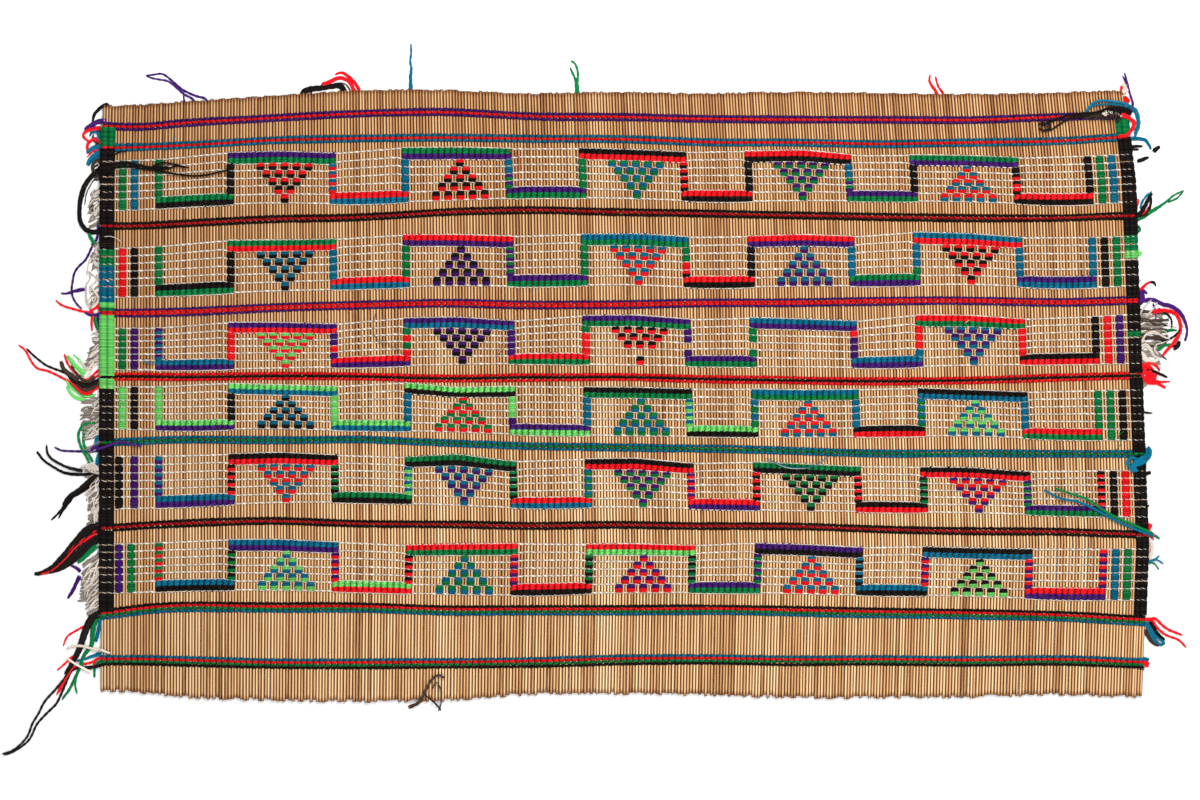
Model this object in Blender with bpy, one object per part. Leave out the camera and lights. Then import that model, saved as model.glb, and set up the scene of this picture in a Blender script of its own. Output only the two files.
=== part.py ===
"""Reed and yarn mat of the Tuareg kind, laid out flat.

Straight grass reeds lie side by side. Nine twined borders cross them from edge to edge, and
between the borders six bands of coloured yarn draw a meander with stepped triangles. The
outer reeds are wrapped in yarn, and loose yarn ends stand out all round.

Frame: origin on the floor, at the middle of the fifth border, +X along the rows of twining,
+Y along the reeds to the upper edge, +Z up to the decorated face. The tables are in
millimetres, heights in them count from the mat's middle, and the solids are in metres.
"""
import random

import bmesh
import bpy
from mathutils import Vector

MM = 0.001

# Driving sizes, in millimetres
REED_COUNT = 344
PAIR_COUNT = REED_COUNT // 2
REED_THICK = 2.5
REED_VALLEY = 1.2
BACK_YARN = 1.0
FACE_YARN = 1.2
GAP = 0.3
END_RAGGED = {"top_edge": 0.5, "bottom_edge": 1.2}
NARROW_BORDER = 6.9
WIDE_BORDER = 9.0
ROW_WIDTH = 1.8
WRAP_PAIRS = 2
WRAP_WALL = 1.2
BORDER_END = 1.3
BACKING_OFFSET = 2.0
BACKING_WIDTH = 1.6
BACKING_LOW, BACKING_HIGH = 0.15, 1.5
STRAND_WIDTH = 1.9
STRAND_HEIGHT = 1.7
FRINGE_STEPS = 1
END_STEPS = 2

# Heights of the layers over the floor
REED_BOTTOM = BACK_YARN + GAP
REED_TOP = REED_BOTTOM + REED_THICK
FACE_BOTTOM = REED_TOP + GAP
FACE_TOP = FACE_BOTTOM + FACE_YARN
LOOSE_BOTTOM = FACE_TOP + GAP

# The reeds fan out a little: height (y), then their left and right edge (x)
EDGES = (
    (-258, -446.3, 446.5),
    (-130, -446.1, 451.2),
    (184, -445.5, 438.8),
    (260, -443.9, 430.0),
)

# Height (y) of each woven row at these stations (x): the rows wander as hand twining does
STATIONS = (-450, -420, -375, -300, -225, -150, -75, 0, 75, 150, 225, 300, 375, 450)
ROWS = {
    "top_edge": (248, 248.5, 252, 256.5, 261.5, 262, 258.5, 260, 258.5, 260, 259.5, 258, 259, 261.5),
    "border_1": (232, 228.5, 233.5, 237.5, 241.5, 243, 238.5, 238.5, 236.5, 236, 236, 235.5, 238.5, 240),
    "border_2": (212.5, 212, 214, 218.5, 220, 221, 219.5, 219.5, 216.5, 216.5, 215, 216.5, 217.5, 222.5),
    "band_1_top": (200, 201, 202.5, 208.5, 209, 211.5, 210, 210, 208, 209.5, 205, 205, 203, 207.5),
    "band_1_bottom": (158, 158.5, 161.5, 164.5, 163.5, 166.5, 169.5, 168.5, 165.5, 166.5, 166, 165.5,
                      162.5, 166.5),
    "border_3": (145, 144.5, 147, 151, 152, 157, 159, 156.5, 155.5, 154, 152.5, 151.5, 151.5, 154.5),
    "band_2_top": (124.5, 125.5, 129, 132.5, 134.5, 137, 136, 138, 134, 137, 136.5, 138, 134, 136.5),
    "band_2_bottom": (84, 84, 85.5, 89, 91, 93.5, 93, 94.5, 91.5, 93.5, 93.5, 95, 91, 94.5),
    "border_4": (70.5, 70, 71, 75, 77, 79, 77, 77.5, 79, 79, 80.5, 81, 79, 81.5),
    "band_3_top": (56.5, 56.5, 58.5, 61.5, 61.5, 66.5, 64.5, 68, 64.5, 64.5, 65, 67.5, 66, 69.5),
    "band_3_bottom": (22.5, 22, 21.5, 22.5, 24, 26, 27, 25.5, 24.5, 24, 23, 25.5, 26.5, 27.5),
    "border_5": (15, 16.5, 15, 16.5, 16, 14, 15, 15.5, 13.5, 12.5, 11.5, 12.5, 15, 17),
    "band_4_top": (7, 7, 7, 8, 7.5, 6, 4.5, 6, 4, 4, 4.5, 4, 2.5, 4.5),
    "band_4_bottom": (-29, -29, -31, -28.5, -30.5, -31.5, -34.5, -35, -35.5, -36.5, -35.5, -35,
                      -38.5, -38.5),
    "border_6": (-41, -40, -38, -39, -38, -41, -44, -45, -46, -48, -50.5, -50, -50.5, -50.5),
    "band_5_top": (-52.5, -52.5, -53, -49.5, -53, -51, -56.5, -55, -59.5, -59.5, -63.5, -62.5,
                   -65, -65),
    "band_5_bottom": (-97.5, -97, -96, -92.5, -92, -94.5, -97.5, -96, -98, -99.5, -100.5, -101,
                      -103.5, -104.5),
    "border_7": (-115, -112.5, -110, -107.5, -110.5, -111, -112.5, -111, -112.5, -112.5, -115.5,
                 -117, -117, -120),
    "band_6_top": (-128.5, -127.5, -126, -124.5, -127.5, -128, -128.5, -127.5, -130.5, -128.5,
                   -131, -131.5, -133, -132),
    "band_6_bottom": (-169.5, -169.5, -167.5, -167.5, -169, -171, -172, -169.5, -169.5, -170.5,
                      -172, -172.5, -175.5, -175.5),
    "border_8": (-190, -184.5, -181, -182.5, -182, -185, -184.5, -184.5, -184, -185.5, -187,
                 -188, -189.5, -194),
    "border_9": (-228, -227, -228.5, -230.5, -230.5, -230, -229.5, -227, -226.5, -228, -227.5,
                 -228.5, -227.5, -230.5),
    "bottom_edge": (-253, -254, -259.5, -261.5, -263, -262, -256, -256, -257, -259.5, -259.5,
                    -259, -256, -259.5),
}

# Colours: red, green, blue and roughness
COLOURS = {
    "reed": (0.80, 0.60, 0.34, 0.55),
    "white": (0.72, 0.66, 0.56, 0.95),
    "black": (0.02, 0.02, 0.02, 0.90),
    "red": (0.62, 0.01, 0.03, 0.90),
    "purple": (0.09, 0.03, 0.18, 0.90),
    "green": (0.00, 0.20, 0.06, 0.90),
    "light_green": (0.17, 0.55, 0.17, 0.90),
    "teal": (0.00, 0.15, 0.25, 0.90),
    "brown": (0.06, 0.04, 0.03, 0.95),
}

# Main colour and width of each border, from the upper edge down
BORDERS = (
    ("border_1", "purple", NARROW_BORDER),
    ("border_2", "teal", NARROW_BORDER),
    ("border_3", "black", NARROW_BORDER),
    ("border_4", "purple", NARROW_BORDER),
    ("border_5", "red", NARROW_BORDER),
    ("border_6", "teal", NARROW_BORDER),
    ("border_7", "black", NARROW_BORDER),
    ("border_8", "red", WIDE_BORDER),
    ("border_9", "green", WIDE_BORDER),
)
BACK_STATIONS = (-450, -420, -225, 75, 375, 450)
ORIGIN_BORDER = "border_5"

# Colour of the edge wraps between each border and the next, left and right
WRAPS = (
    ("green", "green"),
    ("black", "black"),
    ("teal", "black"),
    ("light_green", "black"),
    ("black", "black"),
    ("black", "black"),
    ("black", "black"),
)

# Reed pairs, counted from the left, that each part of a pattern band stands on
MEANDER_PAIRS = (9, 21, 38, 50, 67, 80, 96, 107, 124, 135, 152, 164)
RIGHT_BARS = (166, 168)
TRIANGLE_PAIRS = (30, 59, 89, 116, 144)
TRIANGLE_ROWS = 5
RUN_SHARE = 0.18

# Pattern bands: main colour, the pairs of the two left bars, and where each triangle points
BANDS = (
    ("band_1", "green", (3, 5), ("down", "up", "down", "down", "up")),
    ("band_2", "red", (3, 5), ("down", "up", "down", "up", "down")),
    ("band_3", "purple", (3, 5), ("down", "down", "down", "none", "down")),
    ("band_4", "light_green", (3, 5), ("up", "up", "up", "up", "up")),
    ("band_5", "red", (2.5, 5), ("down", "down", "down", "down", "down")),
    ("band_6", "purple", (2.5, 4.5), ("up", "up", "up", "up", "up")),
)

# Photograph frame: one pixel on the mat, and the pixel over the origin
PIXEL = 0.857
CENTRE_ACROSS, CENTRE_DOWN = 621, 395
ROOT = None

# Loose ends that lie on the floor beside the left edge: width in yarns, then the route in
# pixels (across, down). ROOT across is a point in the strip that the ends are fused to.
LEFT_ENDS = (
    (1, ((ROOT, 124), (93, 117), (95, 110), (99, 107))),
    (1.5, ((ROOT, 129), (89, 127), (83.5, 133), (88, 140), (ROOT, 143))),
    (1.5, ((ROOT, 150), (88, 149), (86, 157), (89, 165), (ROOT, 167))),
    (1.5, ((ROOT, 175), (86, 186), (79, 200), (78, 213), (82, 227), (90, 231), (ROOT, 227))),
    (1, ((ROOT, 184), (91, 192), (88, 203))),
    (1, ((ROOT, 197), (92, 206), (88, 215))),
    (1, ((ROOT, 209), (94, 216), (91, 222))),
    (1, ((ROOT, 236), (93, 246), (85, 262), (76, 270), (70.5, 284), (73, 297))),
    (1, ((ROOT, 246), (92, 256), (90, 263))),
    (1, ((ROOT, 258), (91, 267), (86, 275))),
    (1, ((ROOT, 270), (89, 278), (84, 284))),
    (1, ((ROOT, 289), (85, 290), (75, 292))),
    (1, ((ROOT, 299), (90, 303), (84, 302))),
    (1, ((ROOT, 312), (76, 308), (55, 300.5))),
    (1.5, ((ROOT, 317), (92, 322), (90, 332))),
    (1, ((ROOT, 336), (90, 344), (86, 353))),
    (1, ((ROOT, 350), (90, 358), (82, 359))),
    (1, ((ROOT, 364), (88, 370), (77, 368), (69, 361), (63, 354))),
    (1, ((ROOT, 372), (84, 377), (62, 371), (38, 363), (25, 349))),
    (1, ((ROOT, 379), (84, 383.5), (62, 376), (36, 369), (25, 357), (18, 345))),
    (1, ((ROOT, 385), (88, 391), (80, 391))),
    (1.5, ((ROOT, 391), (88, 397.5), (75, 395), (69, 386))),
    (1, ((ROOT, 402), (92, 410), (89, 418))),
    (1, ((ROOT, 427), (87, 424), (80, 430), (79, 443))),
    (1, ((ROOT, 437), (91, 440), (86, 444))),
    (1, ((ROOT, 450), (87, 451.5), (64, 451), (53.5, 447))),
    (1, ((ROOT, 460), (92, 463), (87, 461))),
    (1.3, ((ROOT, 471), (82, 468), (66, 463), (51, 456), (46, 446))),
    (1.3, ((ROOT, 478), (79, 475), (61, 471), (43, 461), (36, 451))),
    (1.6, ((ROOT, 485), (86, 486), (74, 491), (61, 503), (51, 520))),
    (1, ((ROOT, 493), (92, 500), (86, 505))),
    (1, ((ROOT, 505), (94, 512), (91, 521))),
    (2.2, ((ROOT, 528), (86, 539), (66, 561), (54, 571), (36, 575))),
    (1.3, ((ROOT, 538), (86, 550), (74, 563))),
    (1, ((ROOT, 563), (88, 568), (78, 578), (74, 590), (68, 599))),
    (1, ((ROOT, 573), (90, 582), (83, 594))),
    (1, ((ROOT, 584), (90, 596), (84, 606))),
    (1, ((ROOT, 597), (92, 607), (88, 618))),
    (2, ((ROOT, 612), (89, 627), (79, 648), (74, 663), (61, 683), (43, 703), (31, 726),
         (20, 747), (5, 756), (0, 754))),
    (1, ((88, 629), (77, 629), (68, 635), (62.5, 646))),
    (1.3, ((ROOT, 622), (93, 636), (89, 652), (78, 673), (67, 693), (61, 701))),
    (1.3, ((ROOT, 660), (94, 668), (94, 678))),
)

# The same beside the right edge
RIGHT_ENDS = (
    (1, ((ROOT, 118), (1136, 106), (1130, 90), (1124.5, 73))),
    (1.3, ((ROOT, 136), (1145, 139), (1152, 147))),
    (1, ((ROOT, 152), (1150, 151), (1160, 147))),
    (1, ((ROOT, 160), (1144, 161), (1149, 157))),
    (1.5, ((ROOT, 199), (1151, 191), (1154, 200), (ROOT, 216))),
    (1.2, ((ROOT, 222), (1153, 214), (1168, 202), (1183, 190))),
    (1, ((ROOT, 228), (1145, 231))),
    (1, ((ROOT, 255), (1148, 257))),
    (1, ((ROOT, 289), (1150, 284), (1156, 284))),
    (1.5, ((ROOT, 299), (1162, 302), (1177, 307), (1186, 320), (1187, 340))),
    (1.5, ((ROOT, 309), (1160, 309), (1174, 314), (1180, 329), (1168, 356))),
    (1, ((ROOT, 318), (1157, 322), (1169, 325))),
    (1, ((ROOT, 329), (1156, 334), (1168, 336))),
    (1, ((ROOT, 341), (1153, 346), (1159, 351))),
    (1, ((ROOT, 351), (1150, 357), (1156, 360))),
    (1.5, ((ROOT, 373), (1152, 365), (1161, 370), (1171, 381))),
    (1, ((ROOT, 381), (1157, 385), (1167, 388))),
    (1, ((ROOT, 411), (1154, 413))),
    (2, ((ROOT, 450), (1153, 452), (1152, 457))),
    (1, ((ROOT, 473), (1155, 473))),
    (1, ((ROOT, 507), (1155, 505))),
    (1, ((ROOT, 531), (1156, 528))),
    (1.2, ((ROOT, 540), (1156, 546), (1154, 555))),
    (1, ((ROOT, 560), (1158, 561), (1165, 564))),
    (1, ((ROOT, 565), (1157, 567), (1160, 570))),
    (1.2, ((ROOT, 615), (1158, 619), (1168, 628), (1184, 635))),
    (1.2, ((ROOT, 622), (1157, 631), (1166, 638), (1179, 641), (1188, 649))),
    (2.2, ((ROOT, 631), (1156, 640), (1164, 645))),
    (1.5, ((ROOT, 662), (1153, 667))),
)

# Yarn ends that stick out from under the upper edge: name, colour, route in pixels
TOP_ENDS = (
    ("top_end_1", "purple", ((145, 75), (153, 74), (162, 74.5), (171, 80), (180, 88), (187, 93.5),
                             (196, 96.5), (205, 100), (209, 108))),
    ("top_end_2", "black", ((305, 106), (305, 92), (312, 86.5), (331, 86), (337, 92), (338, 104))),
    ("top_end_3", "red", ((335, 75), (345, 74), (356, 82), (360, 91), (361, 102))),
    ("top_end_4", "teal", ((410, 43), (411, 52), (409, 61), (411, 70), (408.5, 79), (409.5, 90),
                           (410, 102))),
    ("top_end_5", "green", ((574.5, 106), (574.5, 90), (571.5, 77), (569.5, 66), (572, 60.5),
                            (576.5, 66), (578.5, 77), (578.5, 90), (579, 106))),
    ("top_end_6", "red", ((930.5, 74), (930, 81), (933, 87), (937, 94), (939, 106), (946.5, 106),
                          (943.5, 93), (940, 87), (937.5, 81), (936, 75.5))),
)

# Loose ends that lie on the decorated face: name, colour, what they lie on, width in yarns,
# route in pixels
FACE_ENDS = (
    ("face_end_1", "black", LOOSE_BOTTOM, 1.2, ((104, 167), (117, 169), (132, 165), (160, 167),
                                                (188, 166))),
    ("face_end_2", "black", LOOSE_BOTTOM, 1.2, ((104, 174), (122, 174), (146, 171), (170, 174),
                                                (195, 176), (215, 173), (233, 167))),
    ("face_end_3", "teal", LOOSE_BOTTOM, 1.5, ((1085, 110), (1092, 104), (1106, 101.5), (1126, 103),
                                               (1138, 112), (1140.5, 122), (1134, 132),
                                               (1128, 136))),
    ("face_end_4", "brown", LOOSE_BOTTOM, 1.5, ((1040, 127), (1055, 125), (1068, 119), (1086, 117),
                                                (1106, 111), (1120, 110.5), (1128, 114))),
    ("face_end_5", "teal", LOOSE_BOTTOM, 1.2, ((1044, 490), (1060, 498), (1078, 502), (1098, 514),
                                               (1120, 526), (1140, 533), (1152, 537))),
    ("face_end_6", "green", LOOSE_BOTTOM, 1.2, ((1054, 488), (1070, 493), (1088, 500), (1106, 513),
                                                (1124, 522), (1144, 529.5), (1156, 534))),
    ("face_end_7", "purple", LOOSE_BOTTOM, 1.2, ((99, 449), (112, 446), (122, 443), (141.5, 447))),
    ("face_end_8", "white", LOOSE_BOTTOM - FACE_YARN, 1.2, ((99, 649.5), (104, 650.5), (110, 651.5))),
    ("face_end_9", "brown", LOOSE_BOTTOM - FACE_YARN, 1, ((408, 708), (420, 701), (430, 682),
                                                          (438, 675.5), (445, 678))),
)


def clear_scene():
    for old in list(bpy.data.objects):
        bpy.data.objects.remove(old, do_unlink=True)


def material(name):
    found = bpy.data.materials.get(name)
    if found:
        return found
    red, green, blue, roughness = COLOURS[name]
    made = bpy.data.materials.new(name)
    made.use_nodes = True
    shader = made.node_tree.nodes["Principled BSDF"]
    shader.inputs["Base Color"].default_value = (red, green, blue, 1)
    shader.inputs["Roughness"].default_value = roughness
    shader.inputs["Metallic"].default_value = 0
    return made


def add_solid(name, colour, points, faces):
    """Make one closed solid from points in millimetres."""
    mesh = bpy.data.meshes.new(name)
    mesh.from_pydata([in_metres(*point) for point in points], [], faces)
    shape = bmesh.new()
    shape.from_mesh(mesh)
    bmesh.ops.recalc_face_normals(shape, faces=shape.faces)
    shape.to_mesh(mesh)
    shape.free()
    mesh.materials.append(material(colour))
    solid = bpy.data.objects.new(name, mesh)
    bpy.context.scene.collection.objects.link(solid)
    return solid


def between(table, column, key):
    """Straight-line reading of a table whose first column rises, and on past its ends."""
    last = len(table) - 2
    step = 0
    while step < last and key > table[step + 1][0]:
        step += 1
    low, high = table[step], table[step + 1]
    share = (key - low[0]) / (high[0] - low[0])
    return low[column] + share * (high[column] - low[column])


def edge_left(height):
    return between(EDGES, 1, height)


def edge_right(height):
    return between(EDGES, 2, height)


def reed_x(share, height):
    """Place across the mat of a share (0 to 1) of the reeds, at a height."""
    left, right = edge_left(height), edge_right(height)
    return left + share * (right - left)


def row_y(row, x, stations=STATIONS):
    """Height of a woven row, read along straight pieces between the stations."""
    heights = dict(zip(STATIONS, ROWS[row]))
    return between([(station, heights[station]) for station in stations], 1, x)


def in_metres(x, y, z):
    """Place a point of the tables in the part's own frame."""
    return Vector((x, y - row_y(ORIGIN_BORDER, 0, BACK_STATIONS), z)) * MM


def photo_point(across, down):
    return ((across - CENTRE_ACROSS) * PIXEL, (CENTRE_DOWN - down) * PIXEL)


def reed_ground():
    """All the reeds as one solid: a ridge for each reed, ragged cut ends and a flat back."""
    chance = random.Random(7)
    valley_top = REED_BOTTOM + REED_VALLEY
    levels = [row[0] for row in EDGES[1:-1]]

    def column(share, top, end_shift):
        """Points of one ridge or valley line, from the lower cut end to the upper one."""
        middle = reed_x(share, 0)
        low = row_y("bottom_edge", middle) + end_shift["bottom_edge"]
        high = row_y("top_edge", middle) + end_shift["top_edge"]
        return [(reed_x(share, y), y, top) for y in (low, *levels, high)]

    shifts = [{edge: chance.uniform(-size, size) for edge, size in END_RAGGED.items()}
              for _ in range(REED_COUNT)]
    valley_shifts = [shifts[0]]
    for left, right in zip(shifts, shifts[1:]):
        valley_shifts.append({edge: (left[edge] + right[edge]) / 2 for edge in END_RAGGED})
    valley_shifts.append(shifts[-1])

    points, faces = [], []
    rows = len(levels) + 2
    columns = []
    for reed in range(REED_COUNT + 1):
        columns.append(column(reed / REED_COUNT, valley_top, valley_shifts[reed]))
        if reed < REED_COUNT:
            columns.append(column((reed + 0.5) / REED_COUNT, REED_TOP, shifts[reed]))
    for line in columns:
        points.extend(line)

    def upper(line, row):
        return line * rows + row

    for line in range(len(columns) - 1):
        for row in range(rows - 1):
            faces.append((upper(line, row), upper(line + 1, row),
                          upper(line + 1, row + 1), upper(line, row + 1)))

    # The flat back has one line under each valley, with both its ends
    back = {}
    for line in range(0, len(columns), 2):
        on_edge = line in (0, len(columns) - 1)
        for row in (range(rows) if on_edge else (0, rows - 1)):
            x, y, _ = columns[line][row]
            back[line, row] = len(points)
            points.append((x, y, REED_BOTTOM))
    for line in range(0, len(columns) - 2, 2):
        left_side = range(rows) if line == 0 else (0, rows - 1)
        right_side = range(rows) if line + 2 == len(columns) - 1 else (0, rows - 1)
        faces.append([back[line, row] for row in left_side]
                     + [back[line + 2, row] for row in reversed(right_side)])
        for row in (0, rows - 1):
            crown = upper(line + 1, row)
            ring = (upper(line, row), back[line, row], back[line + 2, row], upper(line + 2, row))
            for first, second in zip(ring, ring[1:]):
                faces.append((crown, first, second))
    for line in (0, len(columns) - 1):
        for row in range(rows - 1):
            faces.append((upper(line, row), upper(line, row + 1),
                          back[line, row + 1], back[line, row]))
    return add_solid("reed_ground", "reed", points, faces)


def ribbon(name, colour, centre_line, width, low, high):
    """A flat strip along a line of (x, y) points."""
    points, faces = [], []
    for x, y in centre_line:
        for side, z in ((-1, low), (1, low), (1, high), (-1, high)):
            points.append((x, y + side * width / 2, z))
    count = len(centre_line)
    for step in range(count - 1):
        first, second = 4 * step, 4 * step + 4
        for corner in range(4):
            following = (corner + 1) % 4
            faces.append((first + corner, second + corner, second + following, first + following))
    faces.append((0, 1, 2, 3))
    faces.append([4 * (count - 1) + corner for corner in range(4)])
    return add_solid(name, colour, points, faces)


def border_line(row, stations):
    """Centre line of a border between its turns round the two edges of the mat."""
    start = edge_left(row_y(row, stations[0])) - BORDER_END
    end = edge_right(row_y(row, stations[-1])) + BORDER_END
    inner = [station for station in stations if start + 1 < station < end - 1]
    return [(x, row_y(row, x, stations)) for x in (start, *inner, end)]


def borders():
    for name, colour, width in BORDERS:
        ribbon(name, colour, border_line(name, STATIONS), width, FACE_BOTTOM, FACE_TOP)
        ribbon(name + "_back", colour, border_line(name, BACK_STATIONS), width, 0, BACK_YARN)


def wrap(name, colour, side, upper_border, lower_border):
    """Yarn wound round the two outer reed pairs between two borders: a channel on the edge."""
    inner_share = WRAP_PAIRS / PAIR_COUNT if side < 0 else 1 - WRAP_PAIRS / PAIR_COUNT
    edge = edge_left if side < 0 else edge_right
    reach = (edge(row_y(upper_border[0], side * STATIONS[-1])) + side * BORDER_END,
             reed_x(inner_share, row_y(upper_border[0], side * STATIONS[-1])))
    top = min(row_y(upper_border[0], x) for x in reach) - upper_border[2] / 2 - GAP
    bottom = max(row_y(lower_border[0], x) for x in reach) + lower_border[2] / 2 + GAP
    levels = [bottom] + [row[0] for row in EDGES if bottom + 1 < row[0] < top - 1] + [top]
    points, faces = [], []
    for y in levels:
        wall = edge(y) + side * GAP
        outside = wall + side * WRAP_WALL
        inside = reed_x(inner_share, y)
        points += [(outside, y, 0), (outside, y, FACE_TOP), (inside, y, FACE_TOP),
                   (inside, y, FACE_BOTTOM), (wall, y, FACE_BOTTOM), (wall, y, BACK_YARN),
                   (inside, y, BACK_YARN), (inside, y, 0)]
    corners = 8
    for step in range(len(levels) - 1):
        first, second = corners * step, corners * (step + 1)
        for corner in range(corners):
            following = (corner + 1) % corners
            faces.append((first + corner, second + corner,
                          second + following, first + following))
    end = corners * (len(levels) - 1)
    for cap in ((7, 0, 5, 6), (0, 1, 4, 5), (1, 2, 3, 4)):
        faces.append(cap)
        faces.append([end + corner for corner in cap])
    return add_solid(name, colour, points, faces)


def edge_wraps():
    for number, (left_colour, right_colour) in enumerate(WRAPS):
        upper_border, lower_border = BORDERS[number], BORDERS[number + 1]
        wrap(f"wrap_left_{number + 1}", left_colour, -1, upper_border, lower_border)
        wrap(f"wrap_right_{number + 1}", right_colour, 1, upper_border, lower_border)


def band_point(band, pair, share, shift=0.0):
    """Point of a band over a reed pair, at a share of the way down from its upper row."""
    reed_share = pair / PAIR_COUNT
    x = reed_x(reed_share, row_y(band + "_top", 0))
    top, bottom = row_y(band + "_top", x), row_y(band + "_bottom", x)
    y = top + share * (bottom - top) + shift
    return reed_x(reed_share, y), y


def stair(centre, direction, side):
    """One side of a stepped triangle, as (pair, share) from its upper row down."""
    half = 0.5
    steps = []
    height = (1 - RUN_SHARE) / TRIANGLE_ROWS
    for row in range(TRIANGLE_ROWS):
        blocks = TRIANGLE_ROWS - row if direction == "down" else row + 1
        edge = centre + half + side * (2 * blocks - 1) / 2
        steps.append((edge, RUN_SHARE + row * height))
        steps.append((edge, RUN_SHARE + (row + 1) * height))
    return steps


def band_outlines(name, left_bars, triangles):
    """The openwork of a band: its outer loop and its openings, as (pair, share, shift)."""
    half_row = ROW_WIDTH / 2
    clear = GAP / 2.6
    first, last = WRAP_PAIRS + clear, PAIR_COUNT - WRAP_PAIRS - clear
    bars = (*left_bars, *RIGHT_BARS)
    turns = [first, *MEANDER_PAIRS[1:-1:2], last]
    outer = [(pair, 0, half_row) for pair in turns]
    outer += [(last, 0, -half_row), (bars[-1] + 1, 0, -half_row),
              (bars[-1] + 1, 1, half_row), (last, 1, half_row)]
    outer += [(pair, 1, -half_row) for pair in reversed(turns)]
    outer += [(first, 1, half_row), (bars[0], 1, half_row),
              (bars[0], 0, -half_row), (first, 0, -half_row)]

    def opening(left, right, top_share, bottom_share):
        top_shift = -half_row if top_share == 0 else 0
        bottom_shift = half_row if bottom_share == 1 else 0
        return [(left, top_share, top_shift), (right, top_share, top_shift),
                (right, bottom_share, bottom_shift), (left, bottom_share, bottom_shift)]

    start, end = MEANDER_PAIRS[0], MEANDER_PAIRS[-1]
    loops = [
        opening(bars[0] + 1, bars[1], 0, 1),
        opening(bars[1] + 1, start, 0, 1),
        opening(end + 1, bars[2], 0, 1),
        opening(bars[2] + 1, bars[3], 0, 1),
    ]
    for left, right in zip(MEANDER_PAIRS[::2], MEANDER_PAIRS[1::2]):
        loops.append(opening(left + 1, right, 0, 1 - RUN_SHARE))
    cells = zip(MEANDER_PAIRS[1:-1:2], MEANDER_PAIRS[2:-1:2], TRIANGLE_PAIRS, triangles)
    for left, right, centre, direction in cells:
        if direction == "none":
            loops.append(opening(left + 1, right, RUN_SHARE, 1))
            continue
        for side, wall in ((-1, left + 1), (1, right)):
            steps = [(pair, share, half_row if share > 0.999 else 0)
                     for pair, share in stair(centre, direction, side)]
            loops.append([(wall, RUN_SHARE, 0), *steps, (wall, 1, half_row)])
    return [[band_point(name, *point) for point in loop] for loop in (outer, *loops)]


def pattern_band(name, colour, left_bars, triangles):
    """An openwork plate: two white rows, the meander, the bars and the stepped triangles."""
    curve = bpy.data.curves.new(name, "CURVE")
    curve.dimensions = "2D"
    curve.fill_mode = "BOTH"
    curve.extrude = (FACE_TOP - FACE_BOTTOM) / 2 * MM
    for loop in band_outlines(name, left_bars, triangles):
        spline = curve.splines.new("POLY")
        spline.points.add(len(loop) - 1)
        for point, (x, y) in zip(spline.points, loop):
            point.co = (*in_metres(x, y, 0), 1)
        spline.use_cyclic_u = True
    curve.materials.append(material(colour))
    band = bpy.data.objects.new(name, curve)
    band.location.z = (FACE_TOP + FACE_BOTTOM) / 2 * MM
    bpy.context.scene.collection.objects.link(band)
    return band


def smooth_route(corners, steps):
    """A smooth curve through a route's own points, with some steps in each stretch."""
    spots = [Vector(corner) for corner in corners]
    spots = [2 * spots[0] - spots[1], *spots, 2 * spots[-1] - spots[-2]]
    route = []
    for before, start, end, after in zip(spots, spots[1:], spots[2:], spots[3:]):
        for step in range(steps):
            t = step / steps
            route.append(0.5 * (2 * start + (end - before) * t
                                + (2 * before - 5 * start + 4 * end - after) * t ** 2
                                + (3 * start - 3 * end + after - before) * t ** 3))
    return route + [spots[-2]]


def strand_mesh(route, low, height, width):
    """Points and faces of a three-sided strand that lies flat on its base."""
    points, faces = [], []
    for spot, before, after in zip(route, [route[0], *route], [*route[1:], route[-1]]):
        along = (after - before).normalized()
        across = Vector((-along.y, along.x)) * width / 2
        points += [(*(spot + across), low), (*(spot - across), low), (*spot, low + height)]
    for step in range(len(route) - 1):
        first, second = 3 * step, 3 * step + 3
        for corner in range(3):
            following = (corner + 1) % 3
            faces.append((first + corner, first + following,
                          second + following, second + corner))
    end = 3 * (len(route) - 1)
    faces.append((2, 1, 0))
    faces.append((end, end + 1, end + 2))
    return points, faces


def loose_strand(name, colour, corners, low, height, width):
    route = smooth_route([photo_point(*corner) for corner in corners], END_STEPS)
    points, faces = strand_mesh(route, low, height, width)
    return add_solid(name, colour, points, faces)


def rooted_route(corners, edge, side):
    """Route of a fringe strand, with its root in the middle of the backing strip."""
    spots = []
    for across, down in corners:
        x, y = photo_point(CENTRE_ACROSS if across is ROOT else across, down)
        if across is ROOT:
            x = edge(y) + side * (BACKING_OFFSET + BACKING_WIDTH / 2)
        spots.append((x, y))
    return smooth_route(spots, FRINGE_STEPS)


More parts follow.
